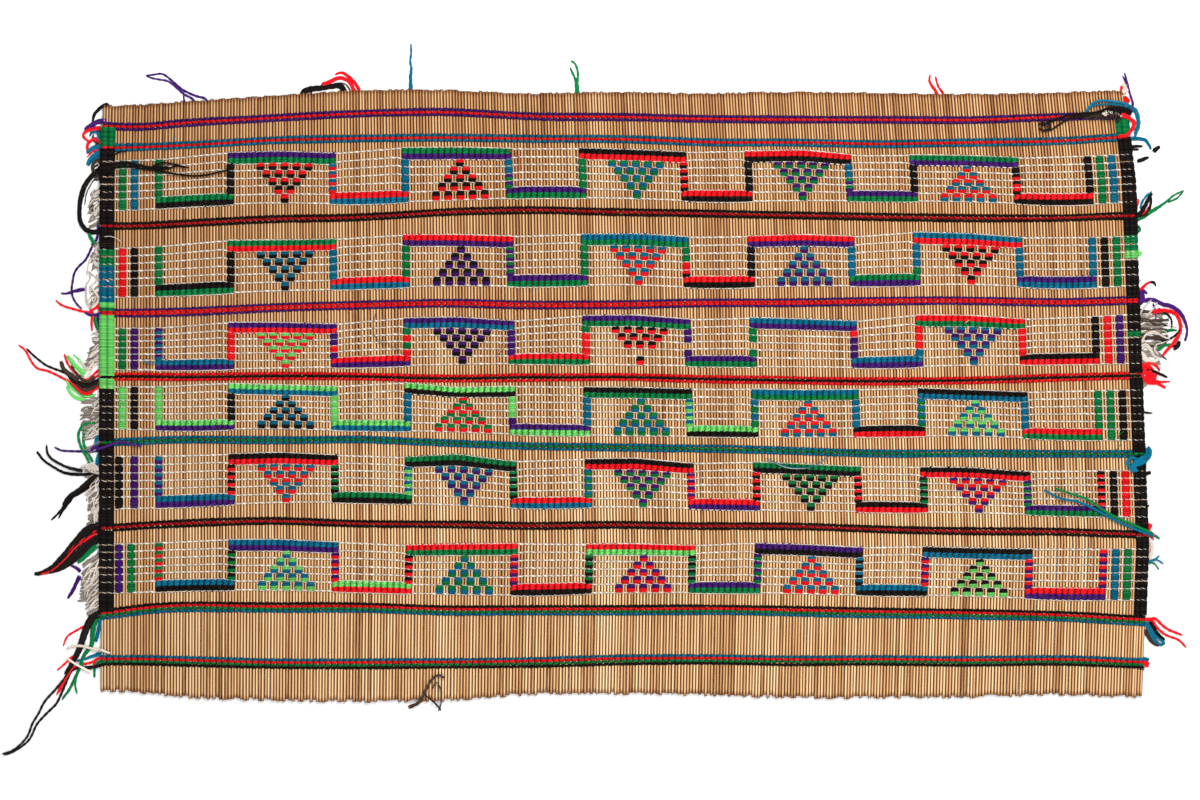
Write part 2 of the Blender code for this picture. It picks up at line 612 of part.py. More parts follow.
def fringe(name, colour, side, ends):
    """Loose ends on the floor, their roots fused into a narrow strip beside the mat's edge."""
    edge = edge_left if side < 0 else edge_right
    top = row_y("border_1", side * STATIONS[-1])
    bottom = row_y("border_9", side * STATIONS[-1])
    levels = [bottom] + [row[0] for row in EDGES if bottom < row[0] < top] + [top]
    points, faces = [], []
    for y in levels:
        near = edge(y) + side * BACKING_OFFSET
        far = near + side * BACKING_WIDTH
        points += [(near, y, BACKING_LOW), (far, y, BACKING_LOW),
                   (far, y, BACKING_HIGH), (near, y, BACKING_HIGH)]
    for step in range(len(levels) - 1):
        first, second = 4 * step, 4 * step + 4
        for corner in range(4):
            following = (corner + 1) % 4
            faces.append((first + corner, first + following,
                          second + following, second + corner))
    end = 4 * (len(levels) - 1)
    faces.append((0, 1, 2, 3))
    faces.append([end + corner for corner in range(4)])
    backing = add_solid(name, colour, points, faces)

    strands, strand_faces = [], []
    for yarns, corners in ends:
        route = rooted_route(corners, edge, side)
        made, made_faces = strand_mesh(route, 0, STRAND_HEIGHT, STRAND_WIDTH * yarns)
        offset = len(strands)
        strands += made
        strand_faces += [[offset + corner for corner in face] for face in made_faces]
    cutter = add_solid(name + "_strands", colour, strands, strand_faces)
    cutter.hide_render = True
    cutter.display_type = "WIRE"
    join = backing.modifiers.new("strands", "BOOLEAN")
    join.operation = "UNION"
    join.solver = "EXACT"
    join.use_self = True
    join.object = cutter
    return backing


def loose_ends():
    fringe("fringe_left", "white", -1, LEFT_ENDS)
    fringe("fringe_right", "red", 1, RIGHT_ENDS)
    for name, colour, corners in TOP_ENDS:
        loose_strand(name, colour, corners, 0, BACK_YARN, STRAND_WIDTH)
    for name, colour, low, yarns, corners in FACE_ENDS:
        loose_strand(name, colour, corners, low, STRAND_HEIGHT, STRAND_WIDTH * yarns)


def build():
    clear_scene()
    reed_ground()
    borders()
    for name, colour, left_bars, triangles in BANDS:
        pattern_band(name, colour, left_bars, triangles)
    edge_wraps()
    loose_ends()


build()
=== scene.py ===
"""Looks of the reed mat: every reed, every twined stitch, the wound blocks and the loose yarn.

The tables are in millimetres, and heights in them count from the mat's middle, as in the
part's source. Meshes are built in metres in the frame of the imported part. Loose yarn follows
routes in pixels of the photograph's frame, which lies flat on the mat.
"""
import math
from collections import defaultdict

import bpy
import numpy as np
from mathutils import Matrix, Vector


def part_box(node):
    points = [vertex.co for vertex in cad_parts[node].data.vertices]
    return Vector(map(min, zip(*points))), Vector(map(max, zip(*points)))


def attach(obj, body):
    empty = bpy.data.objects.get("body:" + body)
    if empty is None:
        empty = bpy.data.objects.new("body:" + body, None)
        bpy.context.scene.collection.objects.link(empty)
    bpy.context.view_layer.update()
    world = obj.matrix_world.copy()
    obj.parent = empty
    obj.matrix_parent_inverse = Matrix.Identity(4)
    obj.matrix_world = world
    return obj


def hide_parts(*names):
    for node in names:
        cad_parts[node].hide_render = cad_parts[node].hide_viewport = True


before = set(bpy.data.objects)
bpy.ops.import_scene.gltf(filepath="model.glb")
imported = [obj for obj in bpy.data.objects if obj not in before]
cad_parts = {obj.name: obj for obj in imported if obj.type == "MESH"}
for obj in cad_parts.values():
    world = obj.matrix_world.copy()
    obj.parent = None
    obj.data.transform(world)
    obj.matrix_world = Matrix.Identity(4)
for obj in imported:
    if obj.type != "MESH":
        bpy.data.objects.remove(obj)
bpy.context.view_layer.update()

MM = 0.001

# Reeds, and the pairs of reeds that each stitch spans
REED_COUNT = 344
PAIR_COUNT = REED_COUNT // 2
WRAP_PAIRS = 2
PAIRS = np.arange(PAIR_COUNT)
PAIR_MIDDLES = PAIRS + 0.5
ON_WRAP = (PAIRS < WRAP_PAIRS) | (PAIRS >= PAIR_COUNT - WRAP_PAIRS)

# Height of the frame's origin in the tables
ORIGIN_HEIGHT = 14.125

# Levels over the floor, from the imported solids
BACK_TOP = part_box("border_1_back")[1][2] / MM
REED_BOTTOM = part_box("reed_ground")[0][2] / MM
REED_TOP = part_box("reed_ground")[1][2] / MM
FACE_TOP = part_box("border_1")[1][2] / MM
REED_RADIUS = (REED_TOP - REED_BOTTOM) / 2
REED_MIDDLE = (REED_TOP + REED_BOTTOM) / 2

# Photograph frame: one pixel on the mat, the pixel over the tables' zero, and the frame's middle
PIXEL = 0.857
CENTRE_ACROSS, CENTRE_DOWN = 621, 395
PHOTO_WIDTH, PHOTO_HEIGHT = 1200, 800

# The reeds fan out a little: heights, then the left and the right edge there
EDGE_HEIGHTS = (-258, -130, 184, 260)
LEFT_EDGE = (-446.3, -446.1, -445.5, -443.9)
RIGHT_EDGE = (446.5, 451.2, 438.8, 430.0)

# Reeds aren't spaced evenly: how far they stand to the right of it, by reed pair, in pixels
SHIFT_PAIRS = (0, 34, 50, 67, 79, 97, 107, 124, 137, 146, 160, 169, 172)
SHIFT_PIXELS = (0, 0.2, 1.0, 2.9, 5.0, 4.5, 3.4, 1.8, 0.4, 0.3, 2.0, 2.4, 0.6)

# Height of each woven row at these stations across the mat
STATIONS = (-450, -420, -375, -300, -225, -150, -75, 0, 75, 150, 225, 300, 375, 450)
ROWS = {
    "top_edge": (248, 248.5, 252, 256.5, 261.5, 262, 258.5, 260, 258.5, 260, 259.5, 258, 259,
                 261.5),
    "border_1": (232, 228.5, 233.5, 237.5, 241.5, 243, 238.5, 238.5, 236.5, 236, 236, 235.5,
                 238.5, 240),
    "border_2": (212.5, 212, 214, 218.5, 220, 221, 219.5, 219.5, 216.5, 216.5, 215, 216.5,
                 217.5, 222.5),
    "band_1_bottom": (158, 158.5, 161.5, 164.5, 163.5, 166.5, 169.5, 168.5, 165.5, 166.5, 166, 165.5,
                      162.5, 166.5),
    "border_3": (145, 144.5, 147, 151, 152, 157, 159, 156.5, 155.5, 154, 152.5, 151.5, 151.5, 154.5),
    "band_2_bottom": (84, 84, 85.5, 89, 91, 93.5, 93, 94.5, 91.5, 93.5, 93.5, 95, 91, 94.5),
    "border_4": (70.5, 70, 71, 75, 77, 79, 77, 77.5, 79, 79, 80.5, 81, 79, 81.5),
    "band_3_bottom": (22.5, 22, 21.5, 22.5, 24, 26, 27, 25.5, 24.5, 24, 23, 25.5, 26.5, 27.5),
    "border_5": (15, 16.5, 15, 16.5, 16, 14, 15, 15.5, 13.5, 12.5, 11.5, 12.5, 15, 17),
    "band_4_bottom": (-29, -29, -31, -28.5, -30.5, -31.5, -34.5, -35, -35.5, -36.5, -35.5, -35,
                      -38.5, -38.5),
    "border_6": (-41, -40, -38, -39, -38, -41, -44, -45, -46, -48, -50.5, -50, -50.5, -50.5),
    "band_5_bottom": (-97.5, -97, -96, -92.5, -92, -94.5, -97.5, -96, -98, -99.5, -100.5, -101,
                      -103.5, -104.5),
    "border_7": (-115, -112.5, -110, -107.5, -110.5, -111, -112.5, -111, -112.5, -112.5, -115.5,
                 -117, -117, -120),
    "band_6_bottom": (-169.5, -169.5, -167.5, -167.5, -169, -171, -172, -169.5, -169.5, -170.5,
                      -172, -172.5, -175.5, -175.5),
    "border_8": (-190, -184.5, -181, -182.5, -182, -185, -184.5, -184.5, -184, -185.5, -187,
                 -188, -189.5, -194),
    "border_9": (-228, -227, -228.5, -230.5, -230.5, -230, -229.5, -227, -226.5, -228, -227.5,
                 -228.5, -227.5, -230.5),
    "bottom_edge": (-253, -254, -259.5, -261.5, -263, -262, -256, -256, -257, -259.5, -259.5,
                    -259, -256, -259.5),
}

# Height of each band's upper row in pixels down, at the edges and at the start, middle and
# end of each upper run
RUN_STATIONS = (100, 160, 226, 280, 334, 403, 457, 512, 583, 636, 690, 750, 802, 856, 915, 970,
                1022, 1095, 1140)
UPPER_ROWS = {
    "band_1_top": (161.5, 159.5, 153, 151.5, 153.5, 148, 148, 149, 148.5, 150, 152.5, 151.5,
                   150.5, 155.5, 155.5, 156, 158, 156, 153.5),
    "band_2_top": (249.5, 246.5, 241, 240.5, 239.5, 235, 235, 237, 234.5, 234, 237.5, 236.5,
                   235, 237, 232.5, 234, 238, 237.5, 236),
    "band_3_top": (329, 328, 323, 323, 324.5, 318.5, 317.5, 321.5, 316, 315.5, 320, 318,
                   319.5, 321.5, 315.5, 316, 319.5, 316.5, 314),
    "band_4_top": (387, 387, 384, 385.5, 387, 383, 388, 387, 387.5, 388, 389.5, 389.5,
                   390.5, 390, 388.5, 390.5, 392.5, 391, 390),
    "band_5_top": (456.5, 456.5, 454.5, 453, 455.5, 457.5, 454.5, 462, 459.5, 459, 464, 462.5,
                   464.5, 467, 467.5, 468, 472, 471, 471),
    "band_6_top": (545, 543, 540, 540, 542.5, 545.5, 544.5, 544, 544.5, 544.5, 546, 543.5,
                   545, 548, 547, 548.5, 549.5, 549.5, 549),
}

# Kinks at the stations are rounded off by an average over these shifts, in millimetres, and in
# pixels for the upper rows
ROUNDING = (-20, -10, 0, 10, 20)
FINE_ROUNDING = (-6, 0, 6)

# Yarn by letter: name and colour
YARNS = {
    "K": ("black", (0.007, 0.0045, 0.004)),
    "R": ("red", (0.84, 0.006, 0.012)),
    "P": ("purple", (0.050, 0.008, 0.140)),
    "G": ("green", (0.000, 0.175, 0.045)),
    "L": ("light_green", (0.145, 0.600, 0.125)),
    "T": ("teal", (0.000, 0.130, 0.230)),
    "W": ("white", (0.78, 0.67, 0.57)),
    "B": ("brown", (0.050, 0.034, 0.024)),
    # F is white yarn darkened as painted shade, laid as felt under the white tufts
    "F": ("painted_shade_felt", (0.24, 0.20, 0.165)),
    "S": ("soft_white", (0.61, 0.54, 0.475)),
    "D": ("dark_red", (0.44, 0.004, 0.010)),
}

# Borders: the colour of each twined row from the upper one down, and the pitch of the rows
BORDERS = (
    ("PRP", 2.25),
    ("TRT", 2.25),
    ("KDK", 2.25),
    ("PRRP", 1.85),
    ("RKR", 2.25),
    ("TGT", 2.25),
    ("KDK", 2.25),
    ("KRGT", 2.25),
    ("TRGK", 2.25),
)
# Borders beyond the edge wraps, which don't cross them
OPEN_BORDERS = (1, 8, 9)

# Reed pairs, counted from the left, that the parts of a pattern band stand on
MEANDER_PAIRS = (9, 21, 38, 50, 67, 79, 96, 107, 124, 135, 152, 164)
UPPER_BAYS = tuple(zip(MEANDER_PAIRS[1:-1:2], MEANDER_PAIRS[2:-1:2]))
RIGHT_BARS = (166, 168)
TRIANGLE_PAIRS = (30, 59, 88, 116, 144)
INTERVALS = 6

# Pattern bands. Bars and uprights give a colour for each interval between white rows, or for
# each half of one, from the upper row down. Runs and the five block rows of a triangle give
# their upper and lower colour. A hyphen is a place left bare.
BANDS = (
    dict(left_bars=((3, "G"), (5, "T")), right_bars="GT",
         uprights="GGGGG KKKK TRTRTRTR TTTT TTTTPGPG GGGG RKRKRKRK KKKK TTTTGPGP KKKK "
                  "KKKRKRRK KKKKK",
         lower_runs="GK RT PG RK PG RK", upper_runs="PG GP KR RK GP",
         triangles=("down RK RK RK KR RK", "up RK RK RK KR KR", "down GT TG TG TG TG",
                    "down PG PG PG PG PG", "up TR TR RT TR RT")),
    dict(left_bars=((3, "R"), (5, "K")), right_bars="KG",
         uprights="GGGGG KKKK TTTT GGGG GPGPGPGP GGGG GGGGRRRK KKKK TTTT TTTG TTTT TTTTT",
         lower_runs="KG RT PG RK GP PT", upper_runs="GR RP TG RP TR",
         triangles=("down TK TK TK TK TK", "up KP KP KP KP KP", "down TR TR TR TR TR",
                    "up TP TP TP TP TP", "down RK RK KR KR KR")),
    dict(left_bars=((3, "G"), (5, "P")), right_bars="RP",
         uprights="PTPTPTPTPT RRRR PPRP GRGR PPPP GRRR PP-P GG-G RPPP RRRT RRRR KKKKK",
         lower_runs="TP RP RG PG TP KR", upper_runs="PR PT PG TP RG",
         triangles=("down LR LR LR LR LR", "down PK PK PK PK PK", "down KR KR KR -- KR",
                    "none", "down TP PT PT PT PT")),
    dict(left_bars=((3, "L"), (5, "K")), right_bars="GK",
         uprights="LLLLL KKKK LLLL TTTT LLLP TTTT TLTLTLTL TGTG TTTT TGTGTGTG TTTT GGGGG",
         lower_runs="LP LT PL LK KR RG", upper_runs="LT LK KG TG KT",
         triangles=("up TK TK TK TK TK", "up RG GR RG GR GR", "up TG GT GT GT TG",
                    "up TR TR TR RT RT", "up LT TL TL LT LT")),
    dict(left_bars=((2.5, "K"), (5, "P")), right_bars="KR",
         uprights="TPTPTPTPTP KRKRKRKR GKGKGKGK TLTLTLTL GKGKGKGK TGTGTGTG PRPRPRPR RKRKRKRK "
                  "RKRKRKRK KGKGKGKG PGPGPGPG KRKRKRKRKR",
         lower_runs="TP GK RT RP KR PG", upper_runs="KR GK KR GK KR",
         triangles=("down TR TR RT TR TR", "down TP TP TP PT PT", "down PG PG PG PG PG",
                    "down GK GK GK GK GK", "down PR RP RP RP RP")),
    dict(left_bars=((2.5, "P"), (4.5, "G")), right_bars="TG",
         uprights="GRGRGRGRGR KGKGKGKG PRPRPRPR KRKRKRKR RPRPRPRP GKGKGKGK KGKGKGKG PGPGPGPG "
                  "TKTKTKTK PRPRPRPR RPRPRPRP RPRPRPRPRP",
         lower_runs="TK LR RK PG TK RP", upper_runs="TP RG RL PK KT",
         triangles=("up LT LT LT TL TL", "up GT GT TG TG GT", "up PR PR PR PR PR",
                    "up TR TR TR TR TR", "up KL KL KL KL KL")),
)

# Share of a band's height at which its seven white rows lie, by what crosses them there
UNDER_UPPER_RUN = (0, 0.205, 0.352, 0.502, 0.655, 0.815, 0.99)
OVER_LOWER_RUN = (0, 0.158, 0.314, 0.47, 0.625, 0.78, 1)

# Colours of the yarn wound round the two edge bundles: from and to, in pixels down
LEFT_WRAPS = ((127, 147, "G"), (147, 249, "K"), (249, 266, "G"), (266, 302, "T"),
              (302, 307, "L"), (307, 313, "G"), (313, 389, "L"), (389, 612, "K"))
RIGHT_WRAPS = ((118, 137, "G"), (137, 235, "K"), (235, 250, "G"), (250, 260, "L"),
               (260, 331, "K"), (331, 338, "G"), (338, 615, "K"))


class Heap:
    """The points and faces of many strands that become one piece."""

    def __init__(self):
        self.points, self.marks, self.quads, self.triangles = [], [], [], []
        self.size = 0

    def add_tubes(self, rings, along, chance, closed=False, shade=1.0):
        """Add tubes at once: rings is (tube, ring, side, xyz) in millimetres, along is
        (tube, ring) in millimetres, chance is one number for each tube, and shade is 1 for the
        full colour and less where painted shade or a reed's cut end darkens it, for each ring."""
        count, steps, sides, _ = rings.shape
        index = self.size + np.arange(count * steps * sides).reshape(count, steps, sides)
        near, far = (index, np.roll(index, -1, 1)) if closed else (index[:, :-1], index[:, 1:])
        self.quads.append(np.stack([near, np.roll(near, -1, 2), np.roll(far, -1, 2), far], -1)
                          .reshape(-1, 4))
        if not closed:
            for corner in range(1, sides - 1):
                for end, order in ((index[:, 0], (0, corner + 1, corner)),
                                   (index[:, -1], (0, corner, corner + 1))):
                    self.triangles.append(end[:, order])
        marks = np.empty((count, steps, sides, 4))
        marks[..., 0] = along[:, :, None]
        marks[..., 1] = np.arange(sides) / sides
        marks[..., 2] = chance[:, None, None]
        marks[..., 3] = np.broadcast_to(shade, (count, steps))[:, :, None]
        self.points.append(rings.reshape(-1, 3))
        self.marks.append(marks.reshape(-1, 4))
        self.size += count * steps * sides


heaps = defaultdict(Heap)
stands_for = defaultdict(set)


def heap(name, letter, *nodes):
    """The heap of one colour in a group, which stands for the named solids."""
    key = (name, letter)
    stands_for[key].update(nodes)
    return heaps[key]


def joined_mesh(name, made):
    """One mesh from a heap, in metres and in the part's frame, facing outwards."""
    points = (np.concatenate(made.points) - (0, ORIGIN_HEIGHT, 0)) * MM
    quads = np.concatenate(made.quads)
    triangles = np.concatenate(made.triangles) if made.triangles else np.empty((0, 3), int)
    first, second, third = (points[quads[:, corner]] for corner in (0, 1, 3))
    if np.einsum("ij,ij->", np.cross(second - first, third - first), first) < 0:
        quads, triangles = quads[:, ::-1], triangles[:, ::-1]
    mesh = bpy.data.meshes.new(name)
    mesh.vertices.add(len(points))
    mesh.vertices.foreach_set("co", points.ravel())
    corners = np.concatenate([quads.ravel(), triangles.ravel()])
    sizes = np.concatenate([np.full(len(quads), 4), np.full(len(triangles), 3)])
    mesh.loops.add(len(corners))
    mesh.loops.foreach_set("vertex_index", corners.astype(np.int32))
    mesh.polygons.add(len(sizes))
    mesh.polygons.foreach_set("loop_start", (np.cumsum(sizes) - sizes).astype(np.int32))
    mesh.update(calc_edges=True)
    mesh.polygons.foreach_set("use_smooth", np.ones(len(sizes), bool))
    marks = np.concatenate(made.marks).astype(np.float32)
    strand = mesh.attributes.new("strand", "FLOAT_VECTOR", "POINT")
    strand.data.foreach_set("vector", marks[:, :3].ravel())
    shade = mesh.attributes.new("shade", "FLOAT", "POINT")
    shade.data.foreach_set("value", marks[:, 3].copy())
    mesh.validate()
    return mesh


def smooth_height(row, x):
    """Height of a woven row at x, with the kinks at its stations rounded off."""
    x = np.asarray(x)
    if row in UPPER_ROWS:
        across = CENTRE_ACROSS + x / PIXEL
        down = sum(np.interp(across + shift, RUN_STATIONS, UPPER_ROWS[row])
                   for shift in FINE_ROUNDING)
        return (CENTRE_DOWN - down / len(FINE_ROUNDING)) * PIXEL
    return sum(np.interp(x + shift, STATIONS, ROWS[row]) for shift in ROUNDING) / len(ROUNDING)


def reed_x(share, height):
    """Place across the mat of a share (0 to 1) of the reeds, at a height."""
    left = np.interp(height, EDGE_HEIGHTS, LEFT_EDGE)
    shift = np.interp(np.asarray(share) * PAIR_COUNT, SHIFT_PAIRS, SHIFT_PIXELS) * PIXEL
    return left + share * (np.interp(height, EDGE_HEIGHTS, RIGHT_EDGE) - left) + shift


def wander(chance, count, size, steps=9):
    """A slow random wave of that size, one number for each of count places."""
    knots = chance.normal(0, size, max(3, count // steps + 2))
    return np.interp(np.linspace(0, len(knots) - 1, count), np.arange(len(knots)), knots)


# Ring places along a stitch, from its one end to the other, and how full it is there
BORDER_RINGS = ((-1, 0.62), (-0.5, 1), (0.5, 1), (1, 0.62))
BLOCK_RINGS = ((-1, 0.72), (-0.6, 1), (0.6, 1), (1, 0.72))
RUN_RINGS = ((-1, 0.58), (-0.4, 1), (0.4, 1), (1, 0.58))
THREAD_RINGS = ((-1, 0.8), (0, 1), (1, 0.8))
BACK_RINGS = ((-1, 0.6), (0, 1), (1, 0.6))

# Kinds of stitch: half height, how far the ends sink, the power of the curve on which they do,
# ring places, and the share of their brightness that the ends lose to painted shade
BORDER_STITCH = dict(height=0.85, dip=1.0, places=BORDER_RINGS, painted_end_shade=0.6)
RUN_STITCH = dict(height=0.9, dip=0.9, places=RUN_RINGS, painted_end_shade=0.32)
BLOCK_STITCH = dict(height=0.8, dip=0.95, power=4, places=BLOCK_RINGS, painted_end_shade=0.45)
WHITE_STITCH = dict(height=0.5, places=THREAD_RINGS, painted_end_shade=0.25)
BACK_STITCH = dict(height=0.5, dip=-0.7, sides=3, places=BACK_RINGS, painted_end_shade=0.6)
BORDER_BACK_STITCH = dict(BACK_STITCH, height=0.55, dip=-0.75)
WHITE_BACK_STITCH = dict(BACK_STITCH, height=0.42)


def add_stitches(made, chance, x, y, z, reach, rise, width, height, dip, places, painted_end_shade, bow=0.0,
                 power=2, sides=4):
    """Add a stitch for each x: a short strand whose ends sink between the reeds. reach and rise
    go from its middle to its right end; width and height are half of its thickness. Its ends
    lose a share of their brightness to painted shade. With a dip below 0 it lies on the mat's back."""
    measures = (x, y, z, reach, rise, width, height, dip, bow)
    x, y, z, reach, rise, width, height, dip, bow = (
        value[:, None, None] for value in np.broadcast_arrays(
            *(np.asarray(measure, float) for measure in measures)))
    run, fullness = (np.array(column)[None, :, None] for column in zip(*places))
    turn = -math.pi / 2 + np.arange(sides) * math.tau / sides
    if dip[0, 0, 0] < 0:
        turn = turn + math.pi
    turn = turn[None, None, :]
    length = np.hypot(reach, rise)
    across = np.cos(turn) * width * fullness
    rings = np.stack(np.broadcast_arrays(
        x + run * reach - across * rise / length,
        y + run * rise + across * reach / length - bow * run ** 2,
        z + np.sin(turn) * height * fullness - dip * np.abs(run) ** power), -1)
    along = np.broadcast_to((run * length)[:, :, 0], rings.shape[:2]) \
        + 10 * chance.random((len(x), 1))
    # Painted shade: the ends, where they sink between the reeds, are darker
    shade = 1 - painted_end_shade * np.abs(run[..., 0]) ** 1.5
    made.add_tubes(rings, along, chance.random(len(x)), shade=shade)


def slopes(x, y, reach):
    """How much a row climbs from a stitch's middle to its right end."""
    return np.gradient(y) / np.gradient(x) * reach


# Reeds
REED_SIDES = 8
REED_RINGS = 9
# Share of a reed's length at each cut end that is darker, and its shade: the cut ends' own brown,
# and along the upper edge also painted shade
REED_CUT = 0.009
CUT_SHADE = 0.5
# How reeds differ: thickness between reeds and along one, bends, the most that they add up to,
# and level
REED_SPREAD = 0.05
REED_SWELL = 0.02
REED_BEND = 0.08
REED_BENDS = 4
MOST_BEND = 0.2
REED_LEVELS = (-0.15, 0.1)
REED_FULLNESS = 1.03
REED_HEIGHT_SHARE = 0.96
END_RAGGED = {"top_edge": 0.7, "bottom_edge": 1.5}


def reeds():
    """All the reeds: round stems that differ a little in thickness, bend and length."""
    chance = np.random.default_rng(11)
    share = (np.arange(REED_COUNT) + 0.5) / REED_COUNT
    middle = reed_x(share, 0)
    low, high = (smooth_height(edge, middle)
                 + chance.uniform(-1, 1, REED_COUNT) * END_RAGGED[edge]
                 for edge in ("bottom_edge", "top_edge"))
    inner_places = np.linspace(0, 1, REED_RINGS)[1:-1]
    place = np.concatenate([[0, REED_CUT], inner_places, [1 - REED_CUT, 1]])
    y = low[:, None] + place[None, :] * (high - low)[:, None]
    bend = chance.normal(0, REED_BEND, (REED_COUNT, REED_BENDS))
    wave = sum(bend[:, turn, None] * np.sin(math.pi * (turn + 1) * place[None, :] + turn)
               for turn in range(REED_BENDS))
    x = reed_x(share[:, None], y) + np.clip(wave, -MOST_BEND, MOST_BEND)
    pitch = (reed_x(1, y) - reed_x(0, y)) / REED_COUNT
    size = (1 - REED_SPREAD * chance.random((REED_COUNT, 1))) \
        * (1 + REED_SWELL * chance.normal(0, 1, (REED_COUNT, len(place))).clip(-1, 1))
    half_width = pitch / 2 * REED_FULLNESS * size
    half_height = REED_RADIUS * REED_HEIGHT_SHARE * size
    z = np.broadcast_to(REED_MIDDLE + chance.uniform(*REED_LEVELS, (REED_COUNT, 1)), x.shape)
    turn = -math.pi / 2 + np.arange(REED_SIDES) * math.tau / REED_SIDES
    rings = np.stack(np.broadcast_arrays(
        x[:, :, None] - half_width[:, :, None] * np.cos(turn),
        y[:, :, None] + 0 * turn,
        z[:, :, None] + half_height[:, :, None] * np.sin(turn)), -1)
    # Cut ends darker: their own brown, and at the upper end also painted shade
    shade = np.where((place == 0) | (place == 1), CUT_SHADE, 1)
    made = heap("reeds", "reed", "reed_ground")
    made.add_tubes(rings, y, chance.random(REED_COUNT), shade=shade)


# Borders
BORDER_LEVEL, BORDER_BACK_LEVEL = REED_TOP + 0.6, 0.62
BORDER_REACH = 2.55
BORDER_SLANT, BORDER_SLANT_CHANGE = 0.28, 0.1
BORDER_WANDER = 0.15
BORDER_WIDTH_CHANGE = 0.08
OUTER_FULLNESS, INNER_FULLNESS, BACK_FULLNESS = 1.12, 1.06, 0.95
STITCH_RISE_OVER_WRAP = 1.0


def twined_borders():
    """Nine borders of three or four twined rows, one stitch over each reed pair."""
    chance = np.random.default_rng(23)
    for number, (colours, pitch) in enumerate(BORDERS, 1):
        row = f"border_{number}"
        x = reed_x(PAIR_MIDDLES / PAIR_COUNT, smooth_height(row, 0))
        y = smooth_height(row, x)
        x = reed_x(PAIR_MIDDLES / PAIR_COUNT, y)
        middle = (len(colours) - 1) / 2
        for place, letter in enumerate(colours):
            made = heap("border", letter, row, row + "_back")
            offset = (middle - place) * pitch
            line = y + offset + wander(chance, PAIR_COUNT, BORDER_WANDER)
            slant = BORDER_SLANT * (1 if place % 2 else -1)
            rise = slopes(x, line, BORDER_REACH) + slant \
                + chance.normal(0, BORDER_SLANT_CHANGE, PAIR_COUNT)
            shown = np.ones(PAIR_COUNT, bool)
            lift = np.zeros(PAIR_COUNT)
            if number not in OPEN_BORDERS:
                shown = ~ON_WRAP | (abs(place - middle) < 0.6)
                lift = np.where(ON_WRAP, STITCH_RISE_OVER_WRAP, 0)
            fullness = OUTER_FULLNESS if letter in (colours[0], colours[-1]) else INNER_FULLNESS
            width = pitch / 2 * fullness \
                * (1 + BORDER_WIDTH_CHANGE * chance.normal(0, 1, PAIR_COUNT))
            add_stitches(made, chance, x[shown], line[shown], (BORDER_LEVEL + lift)[shown],
                         BORDER_REACH, rise[shown], width[shown], **BORDER_STITCH)
            add_stitches(made, chance, x, line, BORDER_BACK_LEVEL, BORDER_REACH, -rise,
                         pitch / 2 * BACK_FULLNESS, **BORDER_BACK_STITCH)


# Pattern bands
BACK_LEVEL = 0.6
# White rows: levels, size and slant of a stitch, and how these change by chance
WHITE_LEVEL, WHITE_BACK_LEVEL = REED_TOP + 0.4, 0.72
WHITE_REACH = 2.65
WHITE_WIDTH, WHITE_BACK_WIDTH = 0.78, 0.5
WHITE_SLANT = -0.34
WHITE_DIP = 0.25
WHITE_WANDER = 0.14
WHITE_SLANT_CHANGE = 0.12
WHITE_WIDTH_CHANGE, WHITE_WIDTH_LIMITS = 0.15, (0.7, 1.4)
# White rows where they cross blocks, runs and edge wraps
FILLED_LIFT, FILLED_THINNING, ROW_BEND = 0.35, 0.4, 0.42
RUN_THINNING, RUN_BEND = 0.75, 0.55
WRAPPED_SLANT, WRAPPED_DIP, WRAPPED_THINNING = -0.7, 1.4, 0.34
WRAPPED_LIFT, WRAPPED_LIFT_CHANGE = STITCH_RISE_OVER_WRAP + 0.12, 0.22
ROWS_UNDER_WRAP = "band_3"
# Runs: how far they spill over the white rows, and the place of their two strands
RUN_LEVEL = REED_TOP + 0.62
RUN_REACH = BORDER_REACH * 0.98
RUN_SPILL = 0.22
RUN_SLANTS, RUN_SLANT_CHANGE = (0.95, 0.85), 0.18
RUN_STRANDS = (-0.5, 0.5)
RUN_FULLNESS = 0.8
# Blocks: four turns of yarn, of which the first bows up most
BLOCK_LEVEL = REED_TOP + 0.65
BLOCK_REACH, BLOCK_BACK_REACH = 3.65, 2.4
BLOCK_TURNS = 4
TURN_REACHES = (0.9, 1.03, 1.03, 0.93)
TURN_BOWS = (0.45, 0.12, 0.12, 0.12)
BLOCK_FULLNESS, BLOCK_BACK_FULLNESS = 1.15, 1.7
BLOCK_TILT, BLOCK_BACK_TILT = 0.12, 0.1


def band_places(band, pair, share):
    """Points of a band over reed pairs, at a share of the way down from its upper row."""
    part = np.asarray(pair) / PAIR_COUNT
    x = reed_x(part, smooth_height(f"{band}_top", 0))
    top, bottom = smooth_height(f"{band}_top", x), smooth_height(f"{band}_bottom", x)
    y = top + share * (bottom - top)
    return reed_x(part, y), y


def row_shares():
    """Share of the band's height of its seven white rows over each reed pair."""
    under_run = np.zeros(PAIR_COUNT)
    for start, end in UPPER_BAYS:
        under_run[start:end + 1] = 1
    under_run = np.convolve(np.pad(under_run, 1, "edge"), (0.25, 0.5, 0.25), "valid")
    upper, lower = (np.array(table)[:, None] for table in (UNDER_UPPER_RUN, OVER_LOWER_RUN))
    return lower + under_run * (upper - lower)


